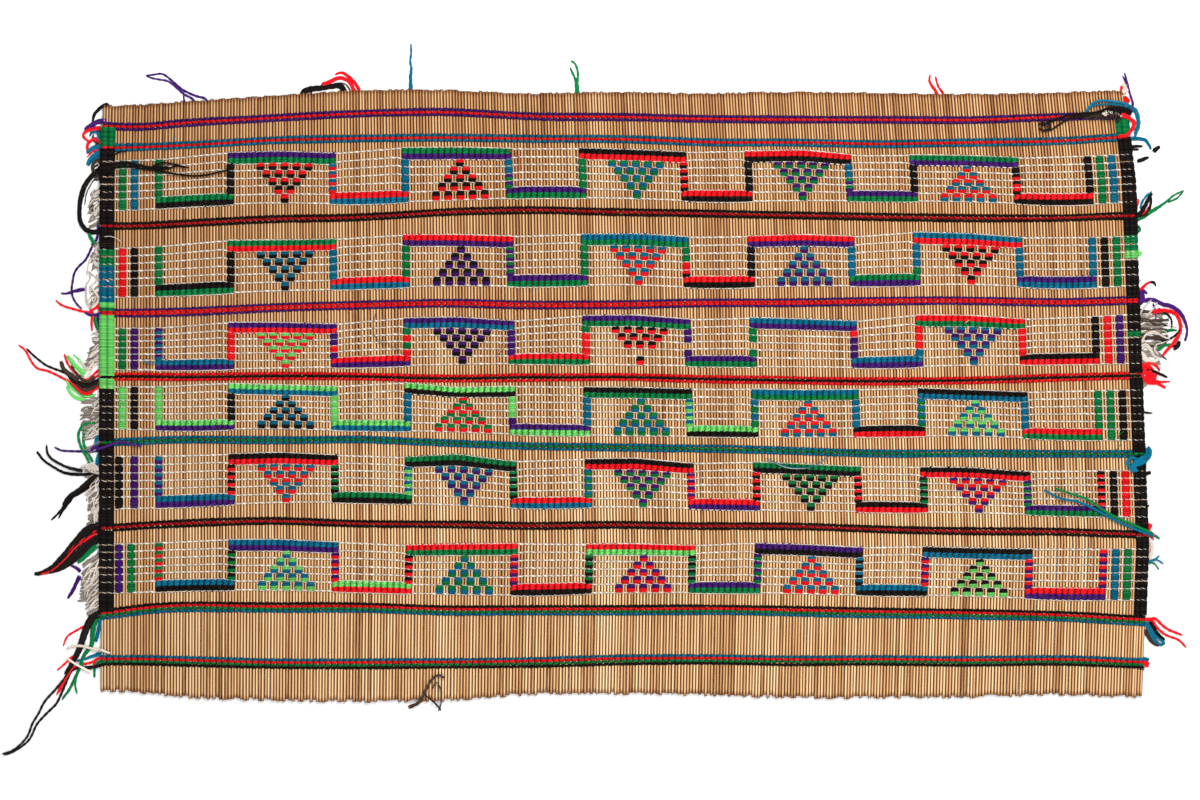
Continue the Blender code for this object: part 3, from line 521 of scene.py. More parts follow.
class Band:
    """One pattern band: its white rows, and the stitches of each colour that they hold."""

    def __init__(self, number, details):
        self.node = f"band_{number}"
        self.details = details
        self.chance = np.random.default_rng(40 + number)
        self.rows = [band_places(self.node, PAIR_MIDDLES, share) for share in row_shares()]
        self.filled = np.zeros((INTERVALS, PAIR_COUNT), bool)
        self.run_filled = np.zeros((INTERVALS, PAIR_COUNT), bool)
        self.turns = defaultdict(list)

    def span(self, interval, pair):
        """Middle across, and the upper and lower limit, of an interval over a pair."""
        (upper_x, upper_y), (_, lower_y) = self.rows[interval], self.rows[interval + 1]
        return tuple(np.interp(pair + 0.5, PAIR_MIDDLES, values)
                     for values in (upper_x, upper_y, lower_y))

    def block(self, interval, pair, colours):
        """Yarn wound round one reed pair between two white rows, in one or two colours."""
        if "-" in colours:
            return
        self.filled[interval, int(round(pair))] = True
        x, top, bottom = self.span(interval, pair)
        pitch = (top - bottom) / BLOCK_TURNS
        for turn in range(BLOCK_TURNS):
            letter = colours[turn * len(colours) // BLOCK_TURNS]
            self.turns[letter].append((x, top - (turn + 0.5) * pitch, pitch / 2 * BLOCK_FULLNESS,
                                       TURN_BOWS[turn], BLOCK_REACH * TURN_REACHES[turn]))

    def upright(self, pair, colours, intervals):
        """A column of blocks: a colour for each interval, or for each half of one."""
        share = len(colours) // len(intervals)
        for place, interval in enumerate(intervals):
            self.block(interval, pair, colours[place * share:(place + 1) * share])

    def run(self, interval, start, end, colours):
        """Two coloured rows between two white ones, from one upright to the next."""
        self.run_filled[interval, start:end + 1] = True
        for place, letter in enumerate(colours):
            pairs = np.arange(start, end + 1)
            x, top, bottom = (np.array(values) for values in
                              zip(*(self.span(interval, pair) for pair in pairs)))
            half = (top - bottom + 2 * RUN_SPILL) / 4
            centre = top + RUN_SPILL - half * (1 + 2 * place)
            rise = slopes(x, centre, BORDER_REACH) + RUN_SLANTS[place]
            made = heap("pattern", letter, self.node)
            for strand in RUN_STRANDS:
                strand_rise = rise + self.chance.normal(0, RUN_SLANT_CHANGE, len(x))
                add_stitches(made, self.chance, x, centre - strand * half, RUN_LEVEL, RUN_REACH,
                             strand_rise, half * RUN_FULLNESS, **RUN_STITCH)
            add_stitches(made, self.chance, x, centre, BACK_LEVEL, BORDER_REACH, -rise,
                         half * RUN_FULLNESS, **BACK_STITCH)

    def triangle(self, centre, words):
        """Five rows of blocks that step to a point."""
        direction, *rows = words.split()
        for place, colours in enumerate(rows):
            blocks = len(rows) - place if direction == "down" else place + 1
            for block in range(blocks):
                self.block(place + 1, centre + 2 * block - (blocks - 1), colours)

    def pattern(self):
        """Bars, uprights, runs and triangles."""
        every = range(INTERVALS)
        for pair, letter in self.details["left_bars"]:
            self.upright(pair, letter * INTERVALS, every)
        for pair, letter in zip(RIGHT_BARS, self.details["right_bars"]):
            self.upright(pair, letter * INTERVALS, every)
        uprights = self.details["uprights"].split()
        for place, (pair, colours) in enumerate(zip(MEANDER_PAIRS, uprights)):
            outer = place in (0, len(uprights) - 1)
            self.upright(pair, colours, range(0 if outer else 1, INTERVALS - 1))
        lower_bays = zip(MEANDER_PAIRS[::2], MEANDER_PAIRS[1::2])
        for (start, end), colours in zip(lower_bays, self.details["lower_runs"].split()):
            self.run(INTERVALS - 1, start, end, colours)
        for (start, end), colours in zip(UPPER_BAYS, self.details["upper_runs"].split()):
            self.run(0, start, end, colours)
        for centre, words in zip(TRIANGLE_PAIRS, self.details["triangles"]):
            self.triangle(centre, words)
        for letter, turns in self.turns.items():
            x, y, width, bow, reach = (np.array(values) for values in zip(*turns))
            made = heap("pattern", letter, self.node)
            tilt = self.chance.normal(BLOCK_TILT, BLOCK_TILT, len(x))
            add_stitches(made, self.chance, x, y, BLOCK_LEVEL, reach, tilt, width, bow=bow,
                         **BLOCK_STITCH)
            behind = slice(0, None, 2)
            add_stitches(made, self.chance, x[behind], y[behind] - width[behind], BACK_LEVEL,
                         BLOCK_BACK_REACH, BLOCK_BACK_TILT, width[behind] * BLOCK_BACK_FULLNESS,
                         **BACK_STITCH)

    def white_rows(self):
        """Seven white rows, which bend round the blocks and runs and cross the edge wraps."""
        made = heap(self.node, "W", self.node)
        nothing = np.zeros(PAIR_COUNT, bool)
        for row, (x, y) in enumerate(self.rows):
            above = self.filled[row - 1] if row > 0 else nothing
            below = self.filled[row] if row < INTERVALS else nothing
            run_above = self.run_filled[row - 1] if row > 0 else nothing
            run_below = self.run_filled[row] if row < INTERVALS else nothing
            filled, run = above | below, run_above | run_below
            bend = ROW_BEND * (below & ~above) - ROW_BEND * (above & ~below)
            bend = np.where(run, RUN_BEND * (run_below * 1.0 - run_above), bend)
            line = y + wander(self.chance, PAIR_COUNT, WHITE_WANDER) + bend
            slant = np.where(ON_WRAP, WRAPPED_SLANT, WHITE_SLANT)
            rise = slopes(x, y, WHITE_REACH) + slant \
                + self.chance.normal(0, WHITE_SLANT_CHANGE, PAIR_COUNT)
            over_wrap = WRAPPED_LIFT + self.chance.normal(0, WRAPPED_LIFT_CHANGE, PAIR_COUNT)
            lift = np.where(ON_WRAP, over_wrap, np.where(filled, FILLED_LIFT, 0))
            change = 1 + WHITE_WIDTH_CHANGE * self.chance.normal(0, 1, PAIR_COUNT)
            width = WHITE_WIDTH * change.clip(*WHITE_WIDTH_LIMITS)
            width = width * np.where(filled, FILLED_THINNING, 1)
            width = width * np.where(run, RUN_THINNING, 1)
            width = width * np.where(ON_WRAP, WRAPPED_THINNING, 1)
            dip = np.where(ON_WRAP, WRAPPED_DIP, WHITE_DIP)
            shown = (PAIRS >= WRAP_PAIRS) | (self.node != ROWS_UNDER_WRAP)
            add_stitches(made, self.chance, x[shown], line[shown], (WHITE_LEVEL + lift)[shown],
                         WHITE_REACH, rise[shown], width[shown], dip=dip[shown], **WHITE_STITCH)
            add_stitches(made, self.chance, x, line, WHITE_BACK_LEVEL, WHITE_REACH, -rise,
                         WHITE_BACK_WIDTH, **WHITE_BACK_STITCH)


# Edge wraps
WRAP_PITCH, WRAP_PITCH_CHANGE = 1.2, 0.12
# How far the turns stand out from the edge at heights of the mat, and in from the reed pairs
OUT_HEIGHTS = (-258, 100, 165, 260)
LEFT_OUT = (1.2, 1.2, 1.2, 1.2)
RIGHT_OUT = (1.1, 1.6, 2.6, 2.0)
LEFT_IN, RIGHT_IN = 1.2, 0.5
# Level of the face, depth of the groove between the bundles, depth of the shoulders, and level
# at the back
WRAP_FACE = FACE_TOP - 0.45
WRAP_SINK = 1.2
WRAP_SHOULDER = 0.55
WRAP_BACK, WRAP_BACK_MIDDLE = 0.7, 0.62
# Bulge between white rows, outwards and upwards, and how far from a row it is full
WRAP_BULGE, WRAP_RISE = 0.7, 0.35
BULGE_ROOM, BULGE_POWER = 2.5, 0.6
# Half thickness and width of a turn, how they change, and how far a turn falls on its way round
WRAP_THICKNESS, WRAP_FULLNESS, WRAP_SWELL = 0.45, 0.56, 0.10
WRAP_FALL, WRAP_START = 0.6, 0.3
WRAP_LENGTH = 24
ROOM_AT_BORDER, ROOM_AT_ROW = 1.15, 0.25
# Painted shade at each place round a turn: darker in the groove between the bundles, down the sides
# and at the back
WRAP_PAINTED_SHADE = (0.55, 0.8, 1, 0.8, 0.5, 0.8, 1, 0.75, 0.5, 0.6, 0.6, 0.6)


def wrap_route(edge, inner, side, out, bulge):
    """Route of one turn round the two outer reed pairs, as columns (x, z) for each turn. It
    lies in two bundles with a groove between them, and bulges between the white rows."""
    middle = (edge + inner) / 2
    quarter = (inner - edge) / 4
    inward = -side * (LEFT_IN if side < 0 else RIGHT_IN)
    face = WRAP_FACE + WRAP_RISE * bulge
    outward = side * (out + WRAP_BULGE * bulge)
    groove, shoulder = face - WRAP_SINK, face - WRAP_SHOULDER
    slope = face - WRAP_SINK * 0.35
    places = ((edge + outward, REED_MIDDLE), (edge + outward * 0.6, shoulder),
              (edge + quarter, face), (middle - quarter * 0.35, slope), (middle, groove),
              (middle + quarter * 0.35, slope), (inner - quarter, face),
              (inner + inward * 0.6, shoulder), (inner + inward, REED_MIDDLE),
              (inner, WRAP_BACK), (middle, WRAP_BACK_MIDDLE), (edge, WRAP_BACK))
    x = np.stack([place[0] + 0 * edge for place in places], -1)
    z = np.stack([place[1] + 0 * edge for place in places], -1)
    return x, z


def edge_wraps(side, spans, bands, chance):
    """Turns of yarn down one edge, with room for each border and white row across them."""
    left = side < 0
    end = STATIONS[0] if left else STATIONS[-1]
    column = 0 if left else PAIR_COUNT - 1
    row_heights = [band.rows[row][1][column] for band in bands for row in range(INTERVALS + 1)
                   if not left or band.node != ROWS_UNDER_WRAP]
    limits = [smooth_height(f"border_{number}", end) for number in range(1, 9)]
    rooms = [(height, ROOM_AT_BORDER) for height in limits[1:-1]] \
        + [(height, ROOM_AT_ROW) for height in row_heights]
    inner_share = WRAP_PAIRS / PAIR_COUNT if left else 1 - WRAP_PAIRS / PAIR_COUNT
    for start, stop, letter in spans:
        top, bottom = ((CENTRE_DOWN - down) * PIXEL for down in (start, stop))
        y = np.arange(top - WRAP_PITCH / 2, bottom, -WRAP_PITCH)
        y = y + chance.normal(0, WRAP_PITCH_CHANGE, len(y))
        for height, room in rooms:
            y = y[abs(y - height) > room]
        edge = np.interp(y, EDGE_HEIGHTS, LEFT_EDGE if left else RIGHT_EDGE)
        out = np.interp(y, OUT_HEIGHTS, LEFT_OUT if left else RIGHT_OUT)
        to_row = np.min(np.abs(y[:, None] - np.array(row_heights)[None, :]), 1)
        bulge = np.clip(to_row / BULGE_ROOM, 0, 1) ** BULGE_POWER
        x, z = wrap_route(edge, reed_x(inner_share, y), side, out, bulge)
        swell = 1 + WRAP_SWELL * chance.normal(0, 1, (len(y), 1))
        out_x = np.roll(x, -1, 1) - np.roll(x, 1, 1)
        out_z = np.roll(z, -1, 1) - np.roll(z, 1, 1)
        size = np.hypot(out_x, out_z)
        normal_x, normal_z = out_z / size * side, -out_x / size * side
        phase = np.linspace(0, 1, x.shape[1], endpoint=False)
        rows_y = y[:, None] - WRAP_PITCH * (phase[None, :] - WRAP_START) * WRAP_FALL
        turn = np.arange(4) * math.tau / 4
        thick = WRAP_THICKNESS * swell
        rings = np.stack(np.broadcast_arrays(
            x[:, :, None] + (normal_x * thick)[:, :, None] * np.sin(turn),
            rows_y[:, :, None] + (WRAP_PITCH * WRAP_FULLNESS * swell)[:, :, None] * np.cos(turn),
            z[:, :, None] + (normal_z * thick)[:, :, None] * np.sin(turn)), -1)
        along = np.broadcast_to(phase[None, :] * WRAP_LENGTH, x.shape)
        for number, (upper, lower) in enumerate(zip(limits, limits[1:]), 1):
            inside = (y <= upper) & (y > lower)
            if inside.any():
                made = heap("wrap", letter, f"wrap_{'left' if left else 'right'}_{number}")
                made.add_tubes(rings[inside], along[inside], chance.random(inside.sum()),
                               closed=True, shade=WRAP_PAINTED_SHADE)


# Loose yarn
YARN_WIDTH = 1.08
YARN_HEIGHT = 0.82
BUNDLE_PITCH = 1.55
LIFTS = (0.0, 0.25, 0.5)
DRAWN_TOGETHER = 0.6
TIP_THINNING = 0.25
TWIST_PITCH = 5.0
STRAND_STEP = 1.7
# How far outside the mat a strand's end is a loose one
LOOSE_REACH = 7.0
# How deep a strand sinks between the reeds inside the mat, after a start, over a length
INSIDE_SINK, SINK_START, SINK_LENGTH = 1.3, 3, 4
# Over what length outside the mat a strand comes up to its face, or onto its edge
TO_FACE, TO_EDGE = 6.0, 5.0
# Height of the yarn that comes from under the upper edge
UNDER_EDGE = BACK_TOP / 2
SWAY = 0.22
END_LENGTH, END_THICKNESS = 1.2, 0.55
LEAST_HEIGHT = 0.02
TUFT_SPREAD, TUFT_LIFT = 0.12, 1.2
FLOOR, FACE, UNDER = "floor", "face", "under"


def photo_points(corners):
    """Places across and up the mat, in millimetres, of corners in pixels."""
    across, down = np.array(corners, float).T
    return (across - CENTRE_ACROSS) * PIXEL, (CENTRE_DOWN - down) * PIXEL


def smooth_route(corners, step):
    """Even points, a step apart, on a smooth curve through a route's corners (any columns)."""
    spots = np.array(corners, float)
    spots = np.vstack([2 * spots[0] - spots[1], spots, 2 * spots[-1] - spots[-2]])
    share = np.linspace(0, 1, 12, endpoint=False)[:, None]
    pieces = []
    for before, start, end, after in zip(spots, spots[1:], spots[2:], spots[3:]):
        pieces.append(0.5 * (2 * start + (end - before) * share
                             + (2 * before - 5 * start + 4 * end - after) * share ** 2
                             + (3 * start - 3 * end + after - before) * share ** 3))
    line = np.vstack([*pieces, spots[-2]])
    run = np.concatenate([[0], np.cumsum(np.linalg.norm(np.diff(line, axis=0), axis=1))])
    count = max(3, int(run[-1] / step) + 1)
    even = np.linspace(0, run[-1], count)
    return np.stack([np.interp(even, run, column) for column in line.T], -1), even


def inside_mat(x, y):
    """How far inside the mat's edges a point lies, in millimetres, less than 0 outside."""
    left, right = (np.interp(y, EDGE_HEIGHTS, side) for side in (LEFT_EDGE, RIGHT_EDGE))
    high, low = smooth_height("top_edge", x), smooth_height("bottom_edge", x)
    return np.minimum.reduce([x - left, right - x, high - y, y - low])


def to_loose_end(route, share, level):
    """How far along a strand is from where it is held (0) to its loose end (1), or all 0 where
    both ends are held."""
    start, end = (inside_mat(*route[place]) for place in (0, -1))
    if level == FACE:
        return share if end > start else 1 - share
    if min(start, end) > -LOOSE_REACH:
        return 0 * share
    return share if end < start else 1 - share


def add_strand(made, chance, corners, yarns=1.0, height=YARN_HEIGHT, level=FLOOR, sides=8,
               lobes=0.16, aside=0.0, lift=0.0):
    """Add a loose yarn along a route in pixels, shifted aside from it in millimetres. It lies
    on the floor outside the mat and rises onto its edge, or lies on the mat's face, or comes
    from under the mat. Lift raises it over its neighbours."""
    route, along = smooth_route(np.stack(photo_points(corners), -1), STRAND_STEP)
    heading = np.gradient(route, axis=0)
    heading /= np.linalg.norm(heading, axis=1, keepdims=True)
    towards_tip = to_loose_end(route, along / along[-1], level)
    drawn = 1 - DRAWN_TOGETHER * towards_tip ** 1.5
    sway = aside * drawn + wander(chance, len(route), SWAY, steps=6)
    route = route + sway[:, None] * np.stack([-heading[:, 1], heading[:, 0]], -1)
    x, y = route.T
    width = YARN_WIDTH * yarns
    depth = inside_mat(x, y)
    if level == FACE:
        top = FACE_TOP + height * 0.75 + lift
        z = height + (top - height) * np.clip(1 + depth / TO_FACE, 0, 1) ** 0.7
    else:
        sunk = INSIDE_SINK * np.clip((depth - SINK_START) / SINK_LENGTH, 0, 1)
        crown = UNDER_EDGE if level == UNDER else REED_MIDDLE + 0.4 - sunk
        height = min(height, UNDER_EDGE) if level == UNDER else height
        rest = height + 0.05 + (lift if level == FLOOR else 0)
        z = rest + (crown - rest) * np.clip(1 + depth / TO_EDGE, 0, 1) ** 1.5
    line = np.stack([x, y, z], -1)
    ahead = np.gradient(line, axis=0)
    ahead /= np.linalg.norm(ahead, axis=1, keepdims=True)
    across = np.stack([-ahead[:, 1], ahead[:, 0], np.zeros(len(x))], -1)
    across /= np.linalg.norm(across, axis=1, keepdims=True)
    upward = np.cross(ahead, across)
    turn = -math.pi / 2 + np.arange(sides) * math.tau / sides
    twist = along[:, None] * math.tau / TWIST_PITCH + chance.uniform(0, math.tau)
    lobe = 1 + lobes * np.cos(2 * (turn[None, :] - twist))
    to_end = np.minimum(along, along[-1] - along)
    taper = np.clip(to_end / END_LENGTH + END_THICKNESS, 0, 1)[:, None]
    taper = taper * (1 - TIP_THINNING * towards_tip[:, None] ** 2)
    wide = (width * lobe * np.cos(turn) * taper)[:, :, None]
    high = (height * lobe * np.sin(turn) * taper)[:, :, None]
    rings = line[:, None, :] + wide * across[:, None, :] + high * upward[:, None, :]
    rings[..., 2] = np.maximum(rings[..., 2], LEAST_HEIGHT)
    made.add_tubes(rings[None], along[None], chance.random(1))


def add_bundle(made, chance, corners, count, yarns, level=FLOOR):
    """Add strands side by side along one route. Every second one lies a little higher."""
    for strand in range(count):
        aside = (strand - (count - 1) / 2) * YARN_WIDTH * yarns * BUNDLE_PITCH
        lift = YARN_HEIGHT * 0.5 * (strand % 2) + LIFTS[made.size % len(LIFTS)]
        add_strand(made, chance, corners, yarns, level=level, aside=aside, lift=lift)


def add_tuft(made, chance, count, roots, tips, kind, level):
    """Add a tuft of thin, wavy strands from points on one line to points near another
    (pixels)."""
    roots, tips = np.array(roots, float), np.array(tips, float)
    for _ in range(count):
        share = chance.random()
        root = roots[0] + share * (roots[1] - roots[0])
        tip_share = np.clip(share + chance.normal(0, TUFT_SPREAD), 0, 1)
        tip = tips[0] + tip_share * (tips[1] - tips[0])
        tip = tip + chance.normal(0, 1.0, 2)
        corners = [root]
        for place in (0.25, 0.5, 0.75):
            corners.append(root + place * (tip - root) + chance.normal(0, kind["curl"], 2))
        add_strand(made, chance, (*corners, tip), yarns=kind["width"] / YARN_WIDTH,
                   height=kind["height"], sides=6, lobes=0.1,
                   lift=kind["lift"] + chance.uniform(0, TUFT_LIFT), level=level)


# Loose yarn beside the edges: colour, strands side by side, thickness in yarns, route in
# pixels (across, down)
LEFT_ENDS = (
    ("K", 2, 1.0, ((108, 104), (102, 106), (97, 110), (93.5, 114.5), (92, 121))),
    ("P", 1, 0.6, ((103, 106), (105, 103), (109, 105))),
    ("P", 3, 0.9, ((108, 122), (99, 121), (92, 123.5), (84, 129))),
    ("P", 1, 0.9, ((108, 119), (101, 119), (96, 122), (93, 127), (97, 131))),
    ("R", 2, 0.9, ((104, 128), (95, 128), (87, 130), (82.5, 134), (84, 138), (89, 141))),
    ("T", 2, 0.9, ((99, 141), (98.5, 134.5), (95, 131), (91, 132), (89.5, 136))),
    ("B", 1, 0.9, ((93, 134), (92, 138), (96, 143))),
    ("R", 2, 0.9, ((86.5, 150), (87, 144), (91, 140), (96, 139.5), (100.5, 143), (103, 149),
                   (109, 149.5))),
    ("T", 3, 0.9, ((104, 147), (96, 146.5), (90, 149), (86, 152.5))),
    ("R", 1, 0.8, ((98, 149), (91, 151.5), (86.5, 157))),
    ("T", 4, 0.9, ((106, 151), (98, 153.5), (90, 159), (87, 165))),
    ("B", 2, 0.8, ((106, 158), (97, 160), (92, 165), (93.5, 172))),
    ("S", 1, 0.5, ((92, 163.5), (96, 162), (99.5, 167))),
    ("S", 1, 0.5, ((95, 170), (99, 166), (103, 163))),
    ("K", 3, 0.75, ((109, 165), (99, 169), (90, 177), (83.5, 186), (80, 197), (79, 207),
                   (79, 217), (81, 224), (86, 230), (93, 232), (101, 230))),
    ("B", 1, 0.5, ((102, 172), (92, 181), (86, 192), (84, 205))),
    ("K", 1, 0.9, ((89, 208), (93, 204.5), (93, 211), (89, 207))),
    ("G", 2, 1.0, ((87, 231), (90, 238), (95, 245))),
    ("P", 1, 1.0, ((97, 222), (97, 233), (95, 241), (91, 247), (85, 259), (78, 266.5),
                   (73.5, 273.7), (71.5, 283), (71, 291), (72.5, 298), (76.5, 304.5), (81, 309))),
    ("P", 1, 1.0, ((60, 293), (65, 293.7), (71, 291.7))),
    ("P", 2, 0.8, ((70, 291.7), (76, 290.3), (84, 289))),
    ("S", 2, 0.6, ((98, 243), (95, 249), (97, 254), (103, 253), (107, 250), (102, 248), (97, 249))),
    ("S", 2, 0.6, ((108, 261), (102, 262), (96, 258), (92, 259), (98, 267.5), (102, 265))),
    ("S", 1, 0.6, ((90, 258), (88.5, 262), (87, 270), (86, 276))),
    ("S", 1, 0.5, ((85, 271.7), (91, 271.7))),
    ("S", 2, 0.6, ((88.5, 272), (89.8, 278), (86, 284), (85.5, 290), (86, 301), (89.5, 308))),
    ("S", 1, 0.7, ((90.5, 273), (96, 279), (92, 284), (89, 289), (90, 294))),
    ("S", 1, 0.6, ((106, 271), (100, 272), (96, 268))),
    ("S", 1, 0.6, ((106, 284), (102, 283.5), (98, 279), (96, 274))),
    ("S", 2, 0.7, ((89, 285), (93, 290), (96.5, 295), (98.5, 300), (94, 305), (90, 308))),
    ("S", 1, 0.6, ((107, 290), (101, 291), (99, 296), (96, 303))),
    ("S", 1, 0.5, ((87, 303), (90, 297), (93, 302), (95, 296))),
    ("R", 1, 1.0, ((55, 300), (61, 304.8), (71, 308.4), (84.5, 312), (93, 312))),
    ("R", 3, 0.9, ((89, 312), (93, 308), (97, 306.5), (101, 309.5), (108, 313))),
    ("P", 2, 0.9, ((84, 312.5), (90, 315), (96, 314.5), (108, 314))),
    ("P", 2, 0.9, ((98, 313), (98.5, 320), (101, 328))),
    ("G", 2, 0.8, ((93.5, 316), (94.5, 322), (97, 330))),
    ("R", 1, 1.0, ((93, 313), (91, 320), (91, 331))),
    ("R", 1, 1.0, ((17.5, 344.8), (23.5, 350), (29.5, 360), (36, 368), (46, 371), (57, 375.5),
                   (66, 380), (74, 385), (80, 388.5), (87, 389))),
    ("K", 1, 1.0, ((25.5, 348.2), (33.7, 356.3), (43, 364.5), (53, 368.6), (62, 371.6),
                   (71.5, 377.5), (81, 383), (92, 382), (108, 376.5))),
    ("K", 3, 1.0, ((68, 377), (75, 382.5), (84, 386.5), (92, 385), (98, 381), (108, 378))),
    ("R", 1, 1.0, ((63.3, 353.8), (67, 364), (75, 373.5), (84.5, 379.5), (90, 377.5),
                   (95.5, 371.5), (100, 369.5), (107, 371))),
    ("L", 3, 0.9, ((66.5, 355.5), (72, 363), (78.5, 370), (84, 374.5))),
    ("L", 1, 0.8, ((72, 354.5), (80, 361), (84.5, 368))),
    ("S", 1, 0.8, ((73.5, 368), (79.5, 375.5), (85, 378), (90, 371.5), (94, 365.5), (99, 363.5),
                   (107, 365))),
    ("S", 2, 0.7, ((77, 360), (83, 365), (87, 370), (92, 362), (101, 355), (107, 353))),
    ("B", 3, 0.9, ((60, 361), (63, 369), (69, 375), (77, 381))),
    ("B", 3, 0.9, ((70, 366), (78, 375), (86, 381), (94, 376))),
    ("B", 3, 0.8, ((74, 384), (84, 390), (94, 386), (106, 382))),
    ("L", 2, 0.8, ((70, 358), (76, 366), (83, 374))),
    ("R", 1, 0.9, ((80, 382), (88, 381.5), (96, 376), (107, 373.5))),
    ("R", 2, 0.9, ((108, 380), (99, 385), (91, 390.5), (85.5, 394), (79, 391), (72, 384))),
    ("L", 1, 0.9, ((65, 379), (69, 386), (77, 393), (86.5, 396.5), (95, 394.5))),
    ("L", 2, 0.8, ((66, 386), (70, 393), (76, 398), (84, 399.5))),
    ("G", 1, 0.8, ((69, 382), (74, 389), (82, 394.5), (92, 394))),
    ("G", 1, 1.15, ((95, 423), (90, 422.5), (84.5, 423.5), (79.5, 429), (77.8, 437.5), (80, 447),
                   (86, 458), (90, 465))),
    ("G", 1, 1.15, ((92, 421), (87, 426), (83.5, 432), (83, 442), (87, 453), (92.5, 462))),
    ("T", 2, 0.9, ((106, 435), (99, 436), (96, 440), (96, 446), (102, 448))),
    ("T", 2, 0.9, ((106, 449), (100, 453), (97, 459), (96, 465))),
    ("P", 1, 1.0, ((53.5, 447), (61.5, 450.5), (75, 451), (87, 452), (96.5, 451), (107, 447.5))),
    ("P", 2, 1.1, ((90, 452), (93, 447.5), (99, 447), (106, 448))),
    ("K", 2, 0.75, ((36, 451.5), (43, 460.3), (53.6, 467.6), (64, 473), (79, 474.5), (95, 474))),
    ("K", 2, 0.75, ((45.5, 445), (46.5, 453), (51, 459), (60.5, 464.5), (70, 468.5), (82, 471))),
    ("K", 5, 0.9, ((107, 478), (96, 478), (88, 484), (79, 491), (69, 497.5), (63, 506))),
    ("K", 1, 1.0, ((70, 496), (65, 503), (58.5, 512.5), (50.2, 520.5))),
    ("K", 1, 0.9, ((72, 498), (66, 506), (61, 512), (58, 519))),
    ("K", 6, 0.95, ((108, 529), (96, 529), (86, 532), (78, 541), (68, 552), (60, 561),
                    (52, 568), (43, 572.5))),
    ("K", 5, 0.95, ((108, 540), (98, 539), (89, 544), (79, 553), (69, 562), (58, 569),
                    (46, 572.5))),
    ("K", 3, 1.0, ((66, 556), (57, 564), (49, 570), (40, 573.5), (33.5, 574.3))),
    ("R", 2, 0.9, ((97, 531), (90, 536), (80, 542.5), (72, 549), (64, 559), (55, 568),
                   (48, 572), (40, 574.7))),
    ("G", 3, 0.9, ((96, 545), (89, 552), (82, 559), (77, 563))),
    ("P", 2, 0.8, ((69.5, 566), (75, 568), (80, 572))),
    ("P", 2, 1.0, ((79, 576), (76, 582), (73, 588), (67, 599))),
    ("S", 1, 0.7, ((107, 586), (100, 587), (100, 594), (104, 603), (109, 611), (112.5, 617.5))),
    ("K", 4, 1.0, ((109, 612), (102, 613), (92, 618), (86, 628), (81, 642), (77, 653),
                   (71, 664), (65, 675))),
    ("K", 1, 1.0, ((70, 667), (63.8, 679), (55, 690.5), (43.5, 702), (38, 712.5), (32, 724),
                   (25.5, 738), (13, 750), (1, 754.5))),
    ("K", 1, 1.0, ((72, 668), (66, 682), (58.5, 698), (54, 706), (43.5, 716), (35.5, 725.5),
                   (27.5, 741), (14, 751.5), (3, 755.5))),
    ("G", 3, 0.9, ((110, 616), (101, 616), (94.5, 622), (91.5, 634), (90.5, 646), (83, 656),
                   (79, 668))),
    ("T", 2, 0.9, ((110, 619), (101, 619), (98, 630), (95, 642))),
    ("B", 2, 0.9, ((90, 622), (84, 636), (80, 650), (72, 664))),
    ("G", 2, 0.9, ((82, 662), (77, 673), (70, 687), (61, 700))),
    ("G", 1, 0.9, ((78, 670), (74.5, 684), (76.5, 694.5))),
    ("R", 1, 0.9, ((84, 626.5), (75, 631), (66.5, 637), (62.5, 646.5))),
    ("R", 1, 0.9, ((56, 670.5), (61, 666.5), (67, 661), (72, 656))),
    ("T", 2, 0.9, ((110, 655), (99, 655), (89, 657.5), (76, 661.5))),
    ("R", 1, 1.0, ((110, 658), (99, 659), (89, 663.5), (77, 666), (69, 671.5), (62.5, 682),
                   (55.5, 695.5))),
    ("R", 1, 1.0, ((72, 668), (65, 680), (58, 693))),
    ("R", 1, 0.8, ((110, 660), (98, 659), (94, 663), (92, 669))),
    ("G", 1, 1.0, ((110, 662), (99, 662), (94.5, 667), (93.5, 678))),
    ("K", 2, 0.9, ((110, 665), (99, 666), (88, 668), (78, 668), (70, 672))),
)

# Strands at the left that lie over the others: colour, thickness in yarns, route in pixels
CROSSING_ENDS = (
    ("W", 1.15, ((66, 649), (73, 646.5), (82, 646.5), (90, 648.5), (100, 651))),
    ("W", 1.0, ((66, 658.5), (76.5, 665.3), (91, 673))),
)
CROSSING_LIFT = 2.0

